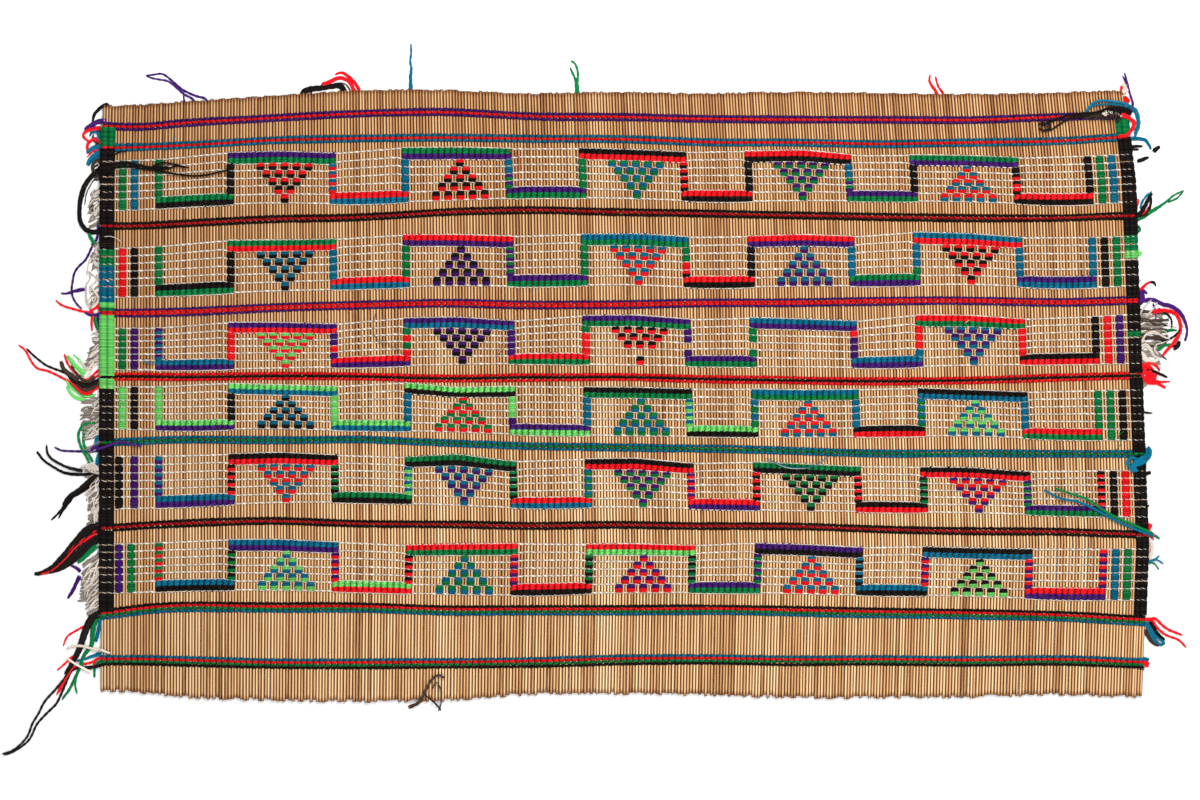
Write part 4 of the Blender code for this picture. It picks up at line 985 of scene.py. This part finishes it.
RIGHT_ENDS = (
    ("P", 1, 1.0, ((1125.5, 72), (1128, 82), (1131, 93), (1134, 104), (1131, 114), (1122, 119))),
    ("P", 1, 0.7, ((1123, 75), (1126, 80), (1129, 87))),
    ("R", 2, 0.9, ((1121.5, 86), (1123, 90), (1125, 94))),
    ("R", 3, 0.9, ((1124, 97), (1127, 100), (1129.6, 102.4))),
    ("T", 2, 0.9, ((1126, 139), (1135, 138), (1145.3, 139.4), (1149.7, 144.3), (1152, 149))),
    ("K", 2, 0.9, ((1126, 147), (1135, 146), (1143.5, 146))),
    ("K", 1, 0.9, ((1128, 149), (1136, 149), (1140, 149.5))),
    ("K", 2, 1.2, ((1154.5, 151.5), (1157, 148.5), (1161, 146.5))),
    ("K", 2, 1.0, ((1138, 161), (1143.5, 159), (1149.5, 156.5))),
    ("R", 1, 1.0, ((1128, 214), (1136, 211), (1138, 205), (1139.5, 198.5))),
    ("T", 1, 1.0, ((1141, 208), (1143.5, 201), (1148, 195), (1153, 191))),
    ("K", 3, 0.9, ((1126, 217), (1139, 215), (1145, 207), (1149, 199), (1153, 193))),
    ("K", 2, 0.9, ((1139, 218), (1147, 214.5), (1151, 206), (1152.5, 197))),
    ("R", 1, 0.9, ((1143, 215), (1147.5, 210), (1151.5, 203.5))),
    ("G", 2, 0.9, ((1128, 222), (1142, 218), (1151, 212), (1160.5, 206), (1171.5, 198))),
    ("G", 1, 0.8, ((1168, 200.5), (1175, 194.5), (1184.5, 189.8))),
    ("G", 1, 0.8, ((1169, 202), (1178, 197.5), (1184.5, 190.5))),
    ("G", 1, 1.0, ((1126, 226), (1138, 225.5), (1141, 230), (1133, 233))),
    ("L", 2, 0.9, ((1126, 252), (1137, 251), (1142.5, 254.5))),
    ("S", 1, 0.6, ((1128, 281), (1138, 280.5), (1143, 279))),
    ("R", 2, 0.9, ((1140, 292), (1145.5, 285.5), (1151, 281.5))),
    ("K", 1, 1.1, ((1150.5, 281.5), (1154.5, 282.7), (1157, 286))),
    ("P", 3, 0.9, ((1126, 299), (1137, 295), (1142, 290), (1148, 293.5))),
    ("P", 3, 1.0, ((1130, 291), (1138, 292), (1143, 297), (1140, 302), (1130, 303))),
    ("P", 2, 1.0, ((1126, 303), (1142, 301), (1153, 299.5), (1163, 304), (1172, 306), (1181, 312.5),
                   (1186, 322), (1188, 331), (1186, 341))),
    ("P", 1, 0.8, ((1154, 303), (1156, 312), (1157, 322.5))),
    ("R", 2, 1.0, ((1153, 312.5), (1161, 310.5), (1169, 311), (1177, 314), (1181, 322),
                   (1181, 331), (1176, 341), (1169, 349), (1163, 356))),
    ("K", 1, 0.9, ((1159, 308), (1167, 313), (1172, 319), (1173, 328))),
    ("K", 1, 0.9, ((1183.5, 326), (1177, 334), (1170, 339), (1162, 341))),
    ("K", 3, 0.9, ((1181, 341), (1179, 345.5), (1174, 348.5))),
    ("G", 2, 0.8, ((1166, 332), (1172, 330), (1178, 330.5))),
    ("G", 2, 0.8, ((1158, 350), (1165, 346), (1172, 344))),
    ("S", 1, 0.8, ((1137, 320), (1141, 313), (1148, 304), (1154.5, 298), (1158, 303),
                   (1152, 311), (1146, 317))),
    ("S", 1, 0.8, ((1130, 326), (1141, 325), (1153, 318), (1160, 319), (1168, 324), (1178, 326.5))),
    ("S", 1, 0.9, ((1132, 333), (1143, 331), (1156, 327.8), (1165, 330), (1169, 336))),
    ("S", 2, 0.9, ((1130, 345), (1142, 342), (1147, 335), (1155, 332), (1162, 336), (1171, 339.5))),
    ("S", 1, 0.9, ((1171, 339), (1163, 342.5), (1157, 345), (1156, 351), (1160, 355))),
    ("S", 2, 0.9, ((1140, 350), (1146, 345), (1151, 349), (1155, 356), (1161, 358))),
    ("S", 3, 0.9, ((1130, 354), (1142, 353), (1147, 359), (1153, 362), (1160, 358))),
    ("S", 2, 0.8, ((1139, 348), (1142, 357), (1149, 362))),
    ("K", 1, 0.8, ((1157, 352), (1162, 355), (1168, 359))),
    ("R", 2, 1.0, ((1126, 376), (1139, 372), (1145, 365), (1152, 363), (1157.5, 366), (1161, 370.5))),
    ("R", 2, 1.0, ((1126, 379), (1140, 374), (1145, 379), (1149, 383), (1158, 383.5), (1166.7, 388))),
    ("R", 1, 1.0, ((1146, 372), (1153, 378), (1160, 381.7), (1171, 381.2))),
    ("R", 3, 1.1, ((1143, 371), (1150, 372), (1156, 377), (1150, 381))),
    ("R", 3, 1.0, ((1130, 376), (1140, 368), (1148, 367), (1152, 373), (1146, 381))),
    ("K", 2, 0.8, ((1147, 368), (1155, 371.5), (1163, 375), (1168.3, 377.5))),
    ("K", 1, 0.9, ((1128, 412), (1142, 411), (1147, 412.5), (1153.6, 413))),
    ("T", 2, 1.0, ((1126, 456), (1138, 457), (1145, 455), (1150, 449))),
    ("T", 2, 0.9, ((1148, 447), (1151, 452), (1149, 458), (1143, 460))),
    ("K", 2, 0.8, ((1128, 474), (1144, 473.5), (1152, 472.5))),
    ("K", 1, 1.0, ((1140, 510), (1145, 510), (1150, 505.5))),
    ("R", 3, 1.0, ((1141, 534), (1145, 533), (1148, 529), (1151, 523.5))),
    ("R", 2, 0.8, ((1141, 536), (1146, 531), (1151, 532), (1156, 536))),
    ("D", 1, 0.8, ((1141, 537), (1147, 539), (1151, 545), (1149, 556))),
    ("S", 3, 0.8, ((1141, 541), (1148, 539), (1152.5, 547), (1150, 560))),
    ("D", 1, 0.7, ((1146, 534), (1151, 536), (1155, 540))),
    ("T", 1, 0.9, ((1140, 562), (1145, 562), (1152, 561), (1157.5, 560), (1164.6, 563.9))),
    ("T", 1, 1.0, ((1144, 561), (1152, 561), (1157, 559), (1160.5, 555.8))),
    ("G", 1, 0.8, ((1141, 564), (1146, 563), (1155, 564), (1159.8, 570.3))),
    ("R", 1, 1.2, ((1126, 619), (1147.8, 619.7), (1155.8, 619), (1163.8, 625.3), (1171.7, 631.2),
                   (1183.4, 635.4))),
    ("R", 1, 1.1, ((1126, 621), (1151, 620.5), (1159, 629.3), (1167, 635.7), (1179.7, 640.5),
                   (1187.4, 648.1))),
    ("T", 2, 1.1, ((1126, 624), (1146.2, 624), (1151, 632.5), (1156, 641), (1161.4, 645),
                   (1166, 643))),
    ("T", 1, 1.1, ((1147, 623), (1152, 630), (1158, 637.5), (1165.5, 642))),
    ("K", 2, 0.9, ((1150, 622), (1156, 631), (1162, 637), (1166, 640))),
    ("B", 2, 0.9, ((1146, 629), (1149, 636), (1154, 643), (1160, 646))),
    ("T", 2, 0.9, ((1126, 658.5), (1142, 659), (1150, 660))),
    ("R", 3, 0.9, ((1126, 663), (1142, 663.5), (1150, 665))),
    ("K", 2, 0.8, ((1126, 668), (1138, 668.5), (1145, 669))),
)

# Yarn ends that stick out from under the upper edge: solid, colour, strands side by side,
# thickness in yarns, route in pixels
TOP_ENDS = (
    ("top_end_1", "P", 1, 0.95, ((145, 75), (153, 74), (162, 73.5), (171, 80), (180, 88),
                                 (187, 92), (196, 95.5), (205, 98.5), (209, 108))),
    ("top_end_1", "P", 1, 0.95, ((145, 75), (151, 77.5), (159, 79), (168, 81), (178, 89),
                                 (184, 94), (192, 98), (200, 108))),
    ("top_end_1", "P", 1, 0.8, ((183, 91), (183, 97), (185, 108))),
    ("top_end_2", "K", 3, 0.95, ((299, 104), (303, 92), (309, 89), (320, 87.5), (332, 86),
                                 (339, 85.5), (344, 92), (345, 104))),
    ("top_end_2", "K", 1, 0.8, ((310, 85), (311, 91), (312, 104))),
    ("top_end_3", "R", 2, 0.9, ((334.5, 74), (341, 72), (346, 74.5), (353, 81), (359, 90),
                                (361, 102))),
    ("top_end_3", "R", 2, 0.9, ((321, 84.5), (329, 81.5), (336, 78), (342, 77.5), (349, 82),
                                (354, 92), (356, 102))),
    ("top_end_3", "B", 1, 0.7, ((338, 82), (345, 84), (350, 91), (351, 102))),
    ("top_end_4", "T", 1, 1.0, ((410.5, 43), (411, 52), (410, 61), (411, 68), (409.5, 77),
                                (409.5, 90), (410, 102))),
    ("top_end_4", "T", 1, 0.9, ((411.5, 66), (411, 78), (411.5, 90), (411.5, 102))),
    ("top_end_5", "G", 1, 1.1, ((570.5, 60.5), (574.5, 63), (577, 69), (578, 75), (577.3, 82),
                                (578, 90), (580, 106))),
    ("top_end_5", "G", 1, 1.1, ((570.2, 67), (572.7, 73), (575.5, 80), (576.3, 90), (576, 106))),
    ("top_end_6", "R", 2, 0.85, ((930.6, 74), (930.3, 80.6), (933, 86), (937, 92), (942, 106))),
    ("top_end_6", "R", 1, 1.05, ((936.2, 75.8), (937.5, 81.6), (940.3, 87.8), (943.5, 92.5),
                                 (948, 106))),
)

# Loose yarn on the face: solid, colour, strands side by side, thickness in yarns, route in
# pixels
FACE_ENDS = (
    ("face_end_1", "K", 2, 0.9, ((98, 168), (108, 167), (117, 164), (126, 163), (138, 165),
                                 (152, 168), (168, 167))),
    ("face_end_1", "K", 1, 0.8, ((150, 168), (162, 163), (172, 164), (189, 167.5))),
    ("face_end_1", "K", 1, 0.8, ((152, 169), (166, 169), (176, 166), (188, 168))),
    ("face_end_2", "K", 1, 0.9, ((98, 174), (110, 170), (124, 166.5), (150, 170), (170, 173),
                                 (190, 175.5), (205, 175), (220, 172), (231, 169))),
    ("face_end_1", "K", 1, 0.6, ((112, 157), (118, 153), (128, 151))),
    ("face_end_3", "T", 1, 1.0, ((1083.5, 115), (1087, 109), (1093.5, 102.5), (1102, 100.3),
                                 (1115, 102), (1128, 104.5), (1136.5, 108), (1139.5, 114),
                                 (1140.4, 124), (1137.5, 132), (1134, 138))),
    ("face_end_3", "T", 1, 0.9, ((1086, 112), (1091, 106.5), (1100, 104.5), (1112, 104),
                                 (1124, 106), (1134, 110), (1138, 118), (1138.5, 125),
                                 (1135, 133))),
    ("face_end_4", "K", 2, 0.7, ((1040, 126.5), (1048, 123), (1057, 119), (1068, 115.5),
                                 (1082, 114.5), (1092, 113.5), (1104, 111), (1118, 110),
                                 (1130, 113))),
    ("face_end_4", "K", 1, 0.8, ((1042, 130), (1050, 129.5), (1058, 125), (1066, 120.5),
                                 (1074, 118), (1085, 117))),
    ("face_end_4", "K", 2, 0.9, ((1071, 116), (1080, 114.5), (1091, 114))),
    ("face_end_4", "K", 2, 0.8, ((1097, 112.5), (1106, 109), (1115, 107.5), (1126, 109.5),
                                 (1133, 112.5))),
    ("face_end_4", "K", 1, 0.8, ((1038, 125), (1042, 123), (1048, 124), (1050, 128), (1044, 131),
                                 (1038, 128.5))),
    ("face_end_4", "B", 1, 0.7, ((1040, 129), (1044, 124), (1049, 127), (1046, 130))),
    ("face_end_3", "R", 2, 1.0, ((1121, 115), (1128, 117.5), (1134.5, 121), (1134.5, 126),
                                 (1131, 131), (1126, 135.5), (1118, 136.5))),
    ("face_end_5", "T", 1, 1.1, ((1044, 490), (1060, 498), (1078, 502), (1100, 512), (1116, 520.5),
                                 (1132, 528), (1147.5, 533.5), (1156.5, 536.5))),
    ("face_end_6", "G", 1, 1.1, ((1054, 488), (1070, 493), (1088, 500), (1100, 508),
                                 (1116, 517.5), (1132, 524.5), (1148, 531.5), (1160.5, 539.5))),
    ("face_end_7", "P", 1, 1.0, ((96, 450), (106, 447), (115, 443.5), (122, 442.2), (134, 444.3),
                                 (142, 446.6))),
    ("face_end_8", "W", 1, 1.0, ((99, 649.5), (104, 650.8), (110.5, 653))),
    ("face_end_9", "B", 2, 0.8, ((408, 708), (420, 701), (430, 682), (438, 675.5), (445, 678))),
    ("face_end_9", "B", 1, 0.6, ((438, 712), (441, 703), (441, 690), (436, 682), (432, 690))),
    ("face_end_9", "K", 1, 0.7, ((425, 695), (432, 700), (438, 707), (441, 711))),
    ("face_end_9", "K", 1, 0.22, ((376, 312), (373.5, 322), (373, 330), (376, 338), (390, 345),
                                  (400, 351))),
    ("face_end_9", "T", 1, 0.4, ((766, 458), (785, 466), (800, 468), (815, 465), (830, 456))),
    ("face_end_9", "S", 1, 0.3, ((769, 460), (786, 467), (800, 469), (814, 466), (828, 458))),
    ("face_end_9", "D", 1, 0.25, ((508, 150), (516, 154), (521, 162), (520, 170))),
    ("face_end_8", "S", 1, 0.3, ((104, 237), (111, 236.5), (118, 239), (122, 243))),
    ("face_end_8", "T", 1, 0.5, ((143, 361), (149, 363), (158, 363))),
    ("face_end_8", "T", 1, 0.5, ((175, 136), (174.5, 140.5))),
    ("face_end_8", "S", 1, 0.9, ((106, 279.5), (109, 282))),
    ("fringe_right", "T", 2, 1.0, ((1150, 452), (1143, 458), (1136, 461), (1131, 467), (1127.5, 463),
                                   (1131, 458), (1137, 459))),
    ("fringe_right", "T", 3, 1.0, ((1147, 459), (1140, 463), (1134, 466), (1136, 472))),
    ("fringe_right", "T", 2, 1.0, ((1144, 457), (1137, 462), (1131, 470), (1138, 470))),
    ("fringe_right", "G", 1, 0.25, ((1124, 431), (1119, 436), (1121, 443), (1114, 452))),
)

# Bits of straw on the face, in pixels
STRAWS = (((497, 354.5), (501, 350), (505.5, 345.5)), ((964, 323.5), (967, 321.5), (970, 320)))

# Tuft strands, in millimetres apart from the curl in pixels: felted ground, whose dark F strands
# are painted shade, strands on top of it, and thin wisps on the face
FELT = dict(width=1.1, height=0.4, lift=0.0, curl=1.0)
CROWN = dict(width=0.68, height=0.6, lift=1.2, curl=1.7)
WISP = dict(width=0.45, height=0.45, lift=0.0, curl=2.0)

# Tufts of thin strands: solid, colour, strands, line of roots and line of tips in pixels
TUFTS = (
    ("fringe_left", "F", 8, ((104, 181), (103, 196)), ((91, 192), (88, 207))),
    ("fringe_left", "F", 12, ((104, 192), (103, 222)), ((88, 205), (88, 228))),
    ("fringe_left", "F", 16, ((104, 238), (104, 304)), ((90, 244), (90, 306))),
    ("fringe_left", "F", 6, ((104, 330), (104, 342)), ((92, 330), (91, 342))),
    ("fringe_left", "F", 14, ((104, 338), (104, 364)), ((90, 348), (82, 368))),
    ("fringe_left", "F", 20, ((104, 396), (104, 428)), ((81, 398), (80, 430))),
    ("fringe_left", "F", 14, ((104, 424), (104, 448)), ((81, 428), (86, 456))),
    ("fringe_left", "F", 7, ((104, 464), (104, 476)), ((84, 466), (82, 478))),
    ("fringe_left", "F", 20, ((104, 478), (104, 524)), ((88, 490), (86, 526))),
    ("fringe_left", "F", 30, ((104, 548), (104, 598)), ((82, 566), (78, 602))),
    ("fringe_left", "F", 12, ((104, 588), (104, 610)), ((82, 598), (88, 618))),
    ("fringe_right", "F", 30, ((1131, 310), (1131, 362)), ((1164, 314), (1162, 362))),
    ("fringe_right", "F", 6, ((1131, 376), (1131, 388)), ((1152, 378), (1142, 392))),
    ("fringe_left", "B", 8, ((104, 120), (104, 166)), ((90, 124), (93, 170))),
    ("fringe_left", "B", 6, ((104, 166), (104, 176)), ((98, 170), (90, 184))),
    ("fringe_right", "B", 14, ((1131, 306), (1131, 352)), ((1170, 312), (1168, 344))),
    ("fringe_left", "S", 4, ((104, 181), (103, 196)), ((91, 192), (88, 207))),
    ("fringe_left", "S", 6, ((104, 192), (103, 218)), ((95, 205), (93, 223))),
    ("fringe_left", "S", 4, ((104, 331), (104, 338)), ((92, 333), (91, 341))),
    ("fringe_left", "S", 9, ((104, 338), (104, 362)), ((91, 352), (84, 372))),
    ("fringe_left", "S", 8, ((104, 398), (104, 424)), ((92, 408), (86, 434))),
    ("fringe_left", "S", 5, ((104, 418), (104, 434)), ((87, 430), (84, 440))),
    ("fringe_left", "S", 8, ((104, 466), (102, 480)), ((82, 464), (78, 472))),
    ("fringe_left", "S", 13, ((102, 474), (102, 496)), ((86, 494), (94, 526))),
    ("fringe_left", "S", 14, ((103, 550), (103, 582)), ((82, 572), (84, 604))),
    ("fringe_left", "S", 8, ((103, 574), (103, 604)), ((84, 600), (90, 614))),
    ("face_end_3", "W", 8, ((1121, 84), (1126, 90)), ((1129, 84), (1122, 100))),
    ("face_end_4", "B", 20, ((1083, 120), (1122, 108)), ((1086, 112), (1120, 124))),
    ("face_end_4", "K", 14, ((1083, 118), (1122, 109)), ((1086, 114), (1120, 122))),
    ("face_end_4", "W", 10, ((1100, 116), (1122, 112)), ((1102, 110), (1124, 118))),
)


def loose_yarn():
    """All the loose yarn: bundles beside the edges and on the face, straws and tufts."""
    chance = np.random.default_rng(71)
    for node, ends in (("fringe_left", LEFT_ENDS), ("fringe_right", RIGHT_ENDS)):
        for letter, count, yarns, corners in ends:
            add_bundle(heap("loose", letter, node), chance, corners, count, yarns)
    for letter, yarns, corners in CROSSING_ENDS:
        add_strand(heap("loose", letter, "fringe_left"), chance, corners, yarns,
                   lift=CROSSING_LIFT)
    for node, letter, count, yarns, corners in TOP_ENDS:
        add_bundle(heap("loose", letter, node), chance, corners, count, yarns, level=UNDER)
    for node, letter, count, yarns, corners in FACE_ENDS:
        add_bundle(heap("loose", letter, node), chance, corners, count, yarns, level=FACE)
    for corners in STRAWS:
        add_strand(heap("straws", "reed", "face_end_9"), chance, corners, 0.7, level=FACE)
    for node, letter, count, roots, tips in TUFTS:
        on_face = node.startswith("face")
        kind = WISP if on_face else CROWN if letter == "S" else FELT
        add_tuft(heap("loose", letter, node), chance, count, roots, tips, kind,
                 FACE if on_face else FLOOR)


# Materials
YARN_ROUGHNESS, YARN_SPECULAR = 0.86, 0.08
REED_ROUGHNESS, REED_SPECULAR = 0.5, 0.35
# Shares of the ply, the fuzz and the strand's own shade in a yarn's tone, where the ply's share is
# painted shade in its grooves and painted highlight on its crests; its tones as shares of its
# colour, with a little white in the lightest as painted sheen; and its bump
PAINTED_PLY_SHADE, FUZZ_SHARE, STRAND_SHARE = 0.16, 0.5, 0.34
DARKEST, LIGHTEST, PAINTED_SHEEN = 0.5, 1.35, 0.012
FUZZ_SCALE = 2600
YARN_BUMP = dict(distance=0.00025, strength=0.6)
# Share of the stem's own tone, the grain and the patches in a reed's tone; tones from pale to
# dark; the tint of its sides, a painted shade, and how much of it shows from low to high round
# it; and its bump
TONE_SHARE = 0.45
REED_TONES = ((0.30, (0.98, 0.77, 0.47)), (0.58, (0.87, 0.59, 0.30)),
              (0.82, (0.64, 0.36, 0.145)), (1.02, (0.28, 0.12, 0.038)))
PAINTED_SIDE_SHADE = (0.25, 0.105, 0.032)
PAINTED_SIDE_SHARES = ((0.50, (1, 1, 1)), (0.82, (0.76, 0.76, 0.76)), (1.0, (0, 0, 0)))
REED_BUMP = dict(distance=0.0003, strength=0.5)
# Tints of the reeds, which darken them: near the left edge, from it inwards in metres; towards
# the upper edge, from the lower edge to the upper one; and at the cut ends
LEFT_DARKENING = ((0.0, (0.86, 0.83, 0.81)), (0.25, (1, 1, 1)))
UPWARD_DARKENING = ((0.30, (1, 1, 1)), (0.62, (0.86, 0.80, 0.74)), (1.0, (0.78, 0.68, 0.57)))
CUT_TINTS = ((CUT_SHADE, (0.50, 0.34, 0.22)), (1.0, (1, 1, 1)))


class Surface:
    """A material, with the marks of its strands and short ways to add nodes."""

    def __init__(self, name, roughness, specular):
        self.material = bpy.data.materials.new(name)
        self.material.use_nodes = True
        self.nodes, self.links = self.material.node_tree.nodes, self.material.node_tree.links
        self.shader = self.nodes["Principled BSDF"]
        self.shader.inputs["Roughness"].default_value = roughness
        self.shader.inputs["Specular IOR Level"].default_value = specular
        self.along, self.turn, self.strand = self.parts(self.mark("strand", "Vector"))

    def feed(self, socket, value):
        """Give a socket a number, a colour or another node's output."""
        if isinstance(value, (int, float)):
            socket.default_value = value
        elif isinstance(value, tuple):
            socket.default_value = (*value, 1)
        else:
            self.links.new(value, socket)

    def mark(self, name, output="Fac"):
        """A mark that the mesh's points carry."""
        node = self.nodes.new("ShaderNodeAttribute")
        node.attribute_name = name
        return node.outputs[output]

    def place(self):
        """Place in the part's frame, in metres."""
        return self.nodes.new("ShaderNodeTexCoord").outputs["Object"]

    def parts(self, vector):
        node = self.nodes.new("ShaderNodeSeparateXYZ")
        self.links.new(vector, node.inputs[0])
        return node.outputs

    def maths(self, operation, *values):
        node = self.nodes.new("ShaderNodeMath")
        node.operation = operation
        for socket, value in zip(node.inputs, values):
            self.feed(socket, value)
        return node.outputs[0]

    def times(self, value, factor):
        return self.maths("MULTIPLY", value, factor)

    def total(self, first, *others):
        for other in others:
            first = self.maths("ADD", first, other)
        return first

    def ramp(self, factor, stops):
        """A colour for each value, from stops of a place and a colour."""
        node = self.nodes.new("ShaderNodeValToRGB")
        ends = node.color_ramp.elements
        for end, (place, colour) in zip(ends, (stops[0], stops[-1])):
            end.position, end.color = place, (*colour, 1)
        for place, colour in stops[1:-1]:
            ends.new(place).color = (*colour, 1)
        self.links.new(factor, node.inputs[0])
        return node.outputs[0]

    def tinted(self, colour, tint, share=1.0):
        """A colour multiplied by a tint."""
        mix = self.nodes.new("ShaderNodeMix")
        mix.data_type, mix.blend_type = "RGBA", "MULTIPLY"
        sockets = (mix.inputs[0], mix.inputs[6], mix.inputs[7])
        for socket, value in zip(sockets, (share, colour, tint)):
            self.feed(socket, value)
        return mix.outputs[2]

    def noise(self, vector, scale, detail):
        texture = self.nodes.new("ShaderNodeTexNoise")
        texture.inputs["Scale"].default_value = scale
        texture.inputs["Detail"].default_value = detail
        self.links.new(vector, texture.inputs["Vector"])
        return texture.outputs[0]

    def finish(self, colour, height, distance, strength):
        """Link the colour and a bump to the shader, and return the material."""
        bump = self.nodes.new("ShaderNodeBump")
        bump.inputs["Distance"].default_value = distance
        bump.inputs["Strength"].default_value = strength
        self.links.new(height, bump.inputs["Height"])
        self.links.new(bump.outputs[0], self.shader.inputs["Normal"])
        self.links.new(colour, self.shader.inputs["Base Color"])
        return self.material


def yarn_material(name, colour):
    """Twisted yarn: plies that wind round it, with painted shade and highlight, fuzz, stitches that
    differ in shade, and the painted shade of the shade mark.
    """
    made = Surface(name, YARN_ROUGHNESS, YARN_SPECULAR)
    plies = made.total(made.times(made.along, math.tau * 2 / TWIST_PITCH),
                       made.times(made.turn, math.tau * 2))
    ply = made.maths("SINE", plies)
    fuzz = made.noise(made.place(), FUZZ_SCALE, 3)
    # The ply's share paints shade into its grooves and highlight onto its crests
    shade = made.total(made.times(made.total(ply, 1.0), PAINTED_PLY_SHADE),
                       made.times(fuzz, FUZZ_SHARE), made.times(made.strand, STRAND_SHARE))
    dark = tuple(part * DARKEST for part in colour)
    light = tuple(min(1, part * LIGHTEST + PAINTED_SHEEN) for part in colour)
    tone = made.ramp(shade, ((0.15, dark), (0.55, colour), (0.95, light)))
    height = made.total(made.times(ply, 0.5), fuzz)
    # The shade mark darkens the yarn with painted shade where stitches sink and round the wraps
    return made.finish(made.tinted(tone, made.mark("shade")), height, **YARN_BUMP)


def reed_material():
    """Dry grass stems with grain along them, and painted shade: pale along the top, dark brown down
    their sides.
    """
    made = Surface("dry_reed", REED_ROUGHNESS, REED_SPECULAR)
    stretched = made.nodes.new("ShaderNodeCombineXYZ")
    marks = (made.along, made.turn, made.strand)
    for socket, mark, scale in zip(stretched.inputs, marks, (0.03, 7.0, 90.0)):
        made.links.new(made.times(mark, scale), socket)
    grain = made.noise(stretched.outputs[0], 1.6, 4)
    streaks = made.nodes.new("ShaderNodeMapping")
    made.links.new(made.place(), streaks.inputs["Vector"])
    streaks.inputs["Scale"].default_value = (40, 7, 7)
    patches = made.noise(streaks.outputs[0], 1.0, 3)
    tone = made.total(*(made.times(part, TONE_SHARE) for part in (made.strand, grain, patches)))
    body = made.ramp(tone, REED_TONES)
    # Painted shade: each reed's sides, turned away from its top, are tinted darker
    crown = made.maths("SINE", made.times(made.maths("SUBTRACT", made.turn, 0.25), math.tau))
    colour = made.tinted(body, PAINTED_SIDE_SHADE, made.ramp(crown, PAINTED_SIDE_SHARES))
    # Darker near the left edge and towards the upper edge
    across = made.total(made.parts(made.place())[0], 0.45)
    colour = made.tinted(colour, made.ramp(across, LEFT_DARKENING))
    upward = made.times(made.total(made.along, 260.0), 1 / 520)
    colour = made.tinted(colour, made.ramp(upward, UPWARD_DARKENING))
    # Cut ends: their own brown, and at the upper end also painted shade
    colour = made.tinted(colour, made.ramp(made.mark("shade"), CUT_TINTS))
    return made.finish(colour, grain, **REED_BUMP)


# Slot of each yarn's colour. Three shades share the slot of the colour they are a shade of; F, white
# darkened as painted shade, is one of them
SLOTS = {"reed": "reed", **{letter: f"{name}_yarn" for letter, (name, _) in YARNS.items()},
         "F": "white_yarn", "S": "white_yarn", "D": "red_yarn"}


def make_pieces():
    """One object for each heap, with its material and its body; the solids it stands for are hidden.
    """
    materials = {"reed": reed_material()}
    for letter, (name, colour) in YARNS.items():
        materials[letter] = yarn_material(f"{name}_yarn", colour)
    for (group, letter), made in heaps.items():
        name = group if letter == "reed" else f"{group}_{YARNS[letter][0]}"
        mesh = joined_mesh(name, made)
        mesh.materials.append(materials[letter])
        piece = bpy.data.objects.new(name, mesh)
        bpy.context.scene.collection.objects.link(piece)
        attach(piece, "root")
        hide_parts(*sorted(stands_for[group, letter]))
        SLOTS[letter]
        yield piece


# Studio
FLOOR_SIZE = 10.0
FLOOR_COLOUR, FLOOR_ROUGHNESS = (0.94, 0.94, 0.935, 1), 0.95
# Lamps: name, place and size in metres, and watts
LAMPS = (("key", (0.45, 0.9, 1.6), 0.9, 32.0), ("fill", (0.1, -0.8, 1.6), 1.8, 20.0))
WORLD_STRENGTH = 0.38
CAMERA_LENS = 90.0
SENSOR = 36.0


def studio():
    """A pale floor, soft light and a camera straight above the mat, as the photograph has it."""
    bpy.ops.mesh.primitive_plane_add(size=FLOOR_SIZE, location=(0, 0, 0))
    floor = bpy.context.object
    floor.name = "floor"
    paper = bpy.data.materials.new("pale_floor")
    paper.use_nodes = True
    shader = paper.node_tree.nodes["Principled BSDF"]
    shader.inputs["Base Color"].default_value = FLOOR_COLOUR
    shader.inputs["Roughness"].default_value = FLOOR_ROUGHNESS
    floor.data.materials.append(paper)

    for name, place, size, power in LAMPS:
        lamp = bpy.data.lights.new(name, "AREA")
        lamp.size, lamp.energy = size, power
        holder = bpy.data.objects.new(name, lamp)
        holder.location = place
        holder.rotation_euler = lamp_turn(place)
        bpy.context.scene.collection.objects.link(holder)
    world = bpy.data.worlds.new("studio")
    world.use_nodes = True
    background = world.node_tree.nodes["Background"]
    background.inputs["Color"].default_value = (1, 1, 1, 1)
    background.inputs["Strength"].default_value = WORLD_STRENGTH
    bpy.context.scene.world = world
    bpy.context.scene.view_settings.view_transform = "Standard"

    x, y = ((PHOTO_WIDTH / 2 - CENTRE_ACROSS) * PIXEL,
            (CENTRE_DOWN - PHOTO_HEIGHT / 2) * PIXEL - ORIGIN_HEIGHT)
    lens = bpy.data.cameras.new("camera")
    lens.lens, lens.sensor_width = CAMERA_LENS, SENSOR
    camera = bpy.data.objects.new("camera", lens)
    distance = PHOTO_WIDTH * PIXEL * CAMERA_LENS / SENSOR
    camera.location = (x * MM, y * MM, (distance + FACE_TOP) * MM)
    bpy.context.scene.collection.objects.link(camera)
    bpy.context.scene.camera = camera


def lamp_turn(place):
    """Turn of a lamp at a place that points it at the middle of the mat."""
    x, y, z = place
    return (math.atan2(math.hypot(x, y), z), 0, math.atan2(x, -y))


reeds()
twined_borders()
bands = [Band(number, details) for number, details in enumerate(BANDS, 1)]
for band in bands:
    band.pattern()
    band.white_rows()
edge_wraps(-1, LEFT_WRAPS, bands, np.random.default_rng(61))
edge_wraps(1, RIGHT_WRAPS, bands, np.random.default_rng(62))
loose_yarn()
pieces = list(make_pieces())
studio()
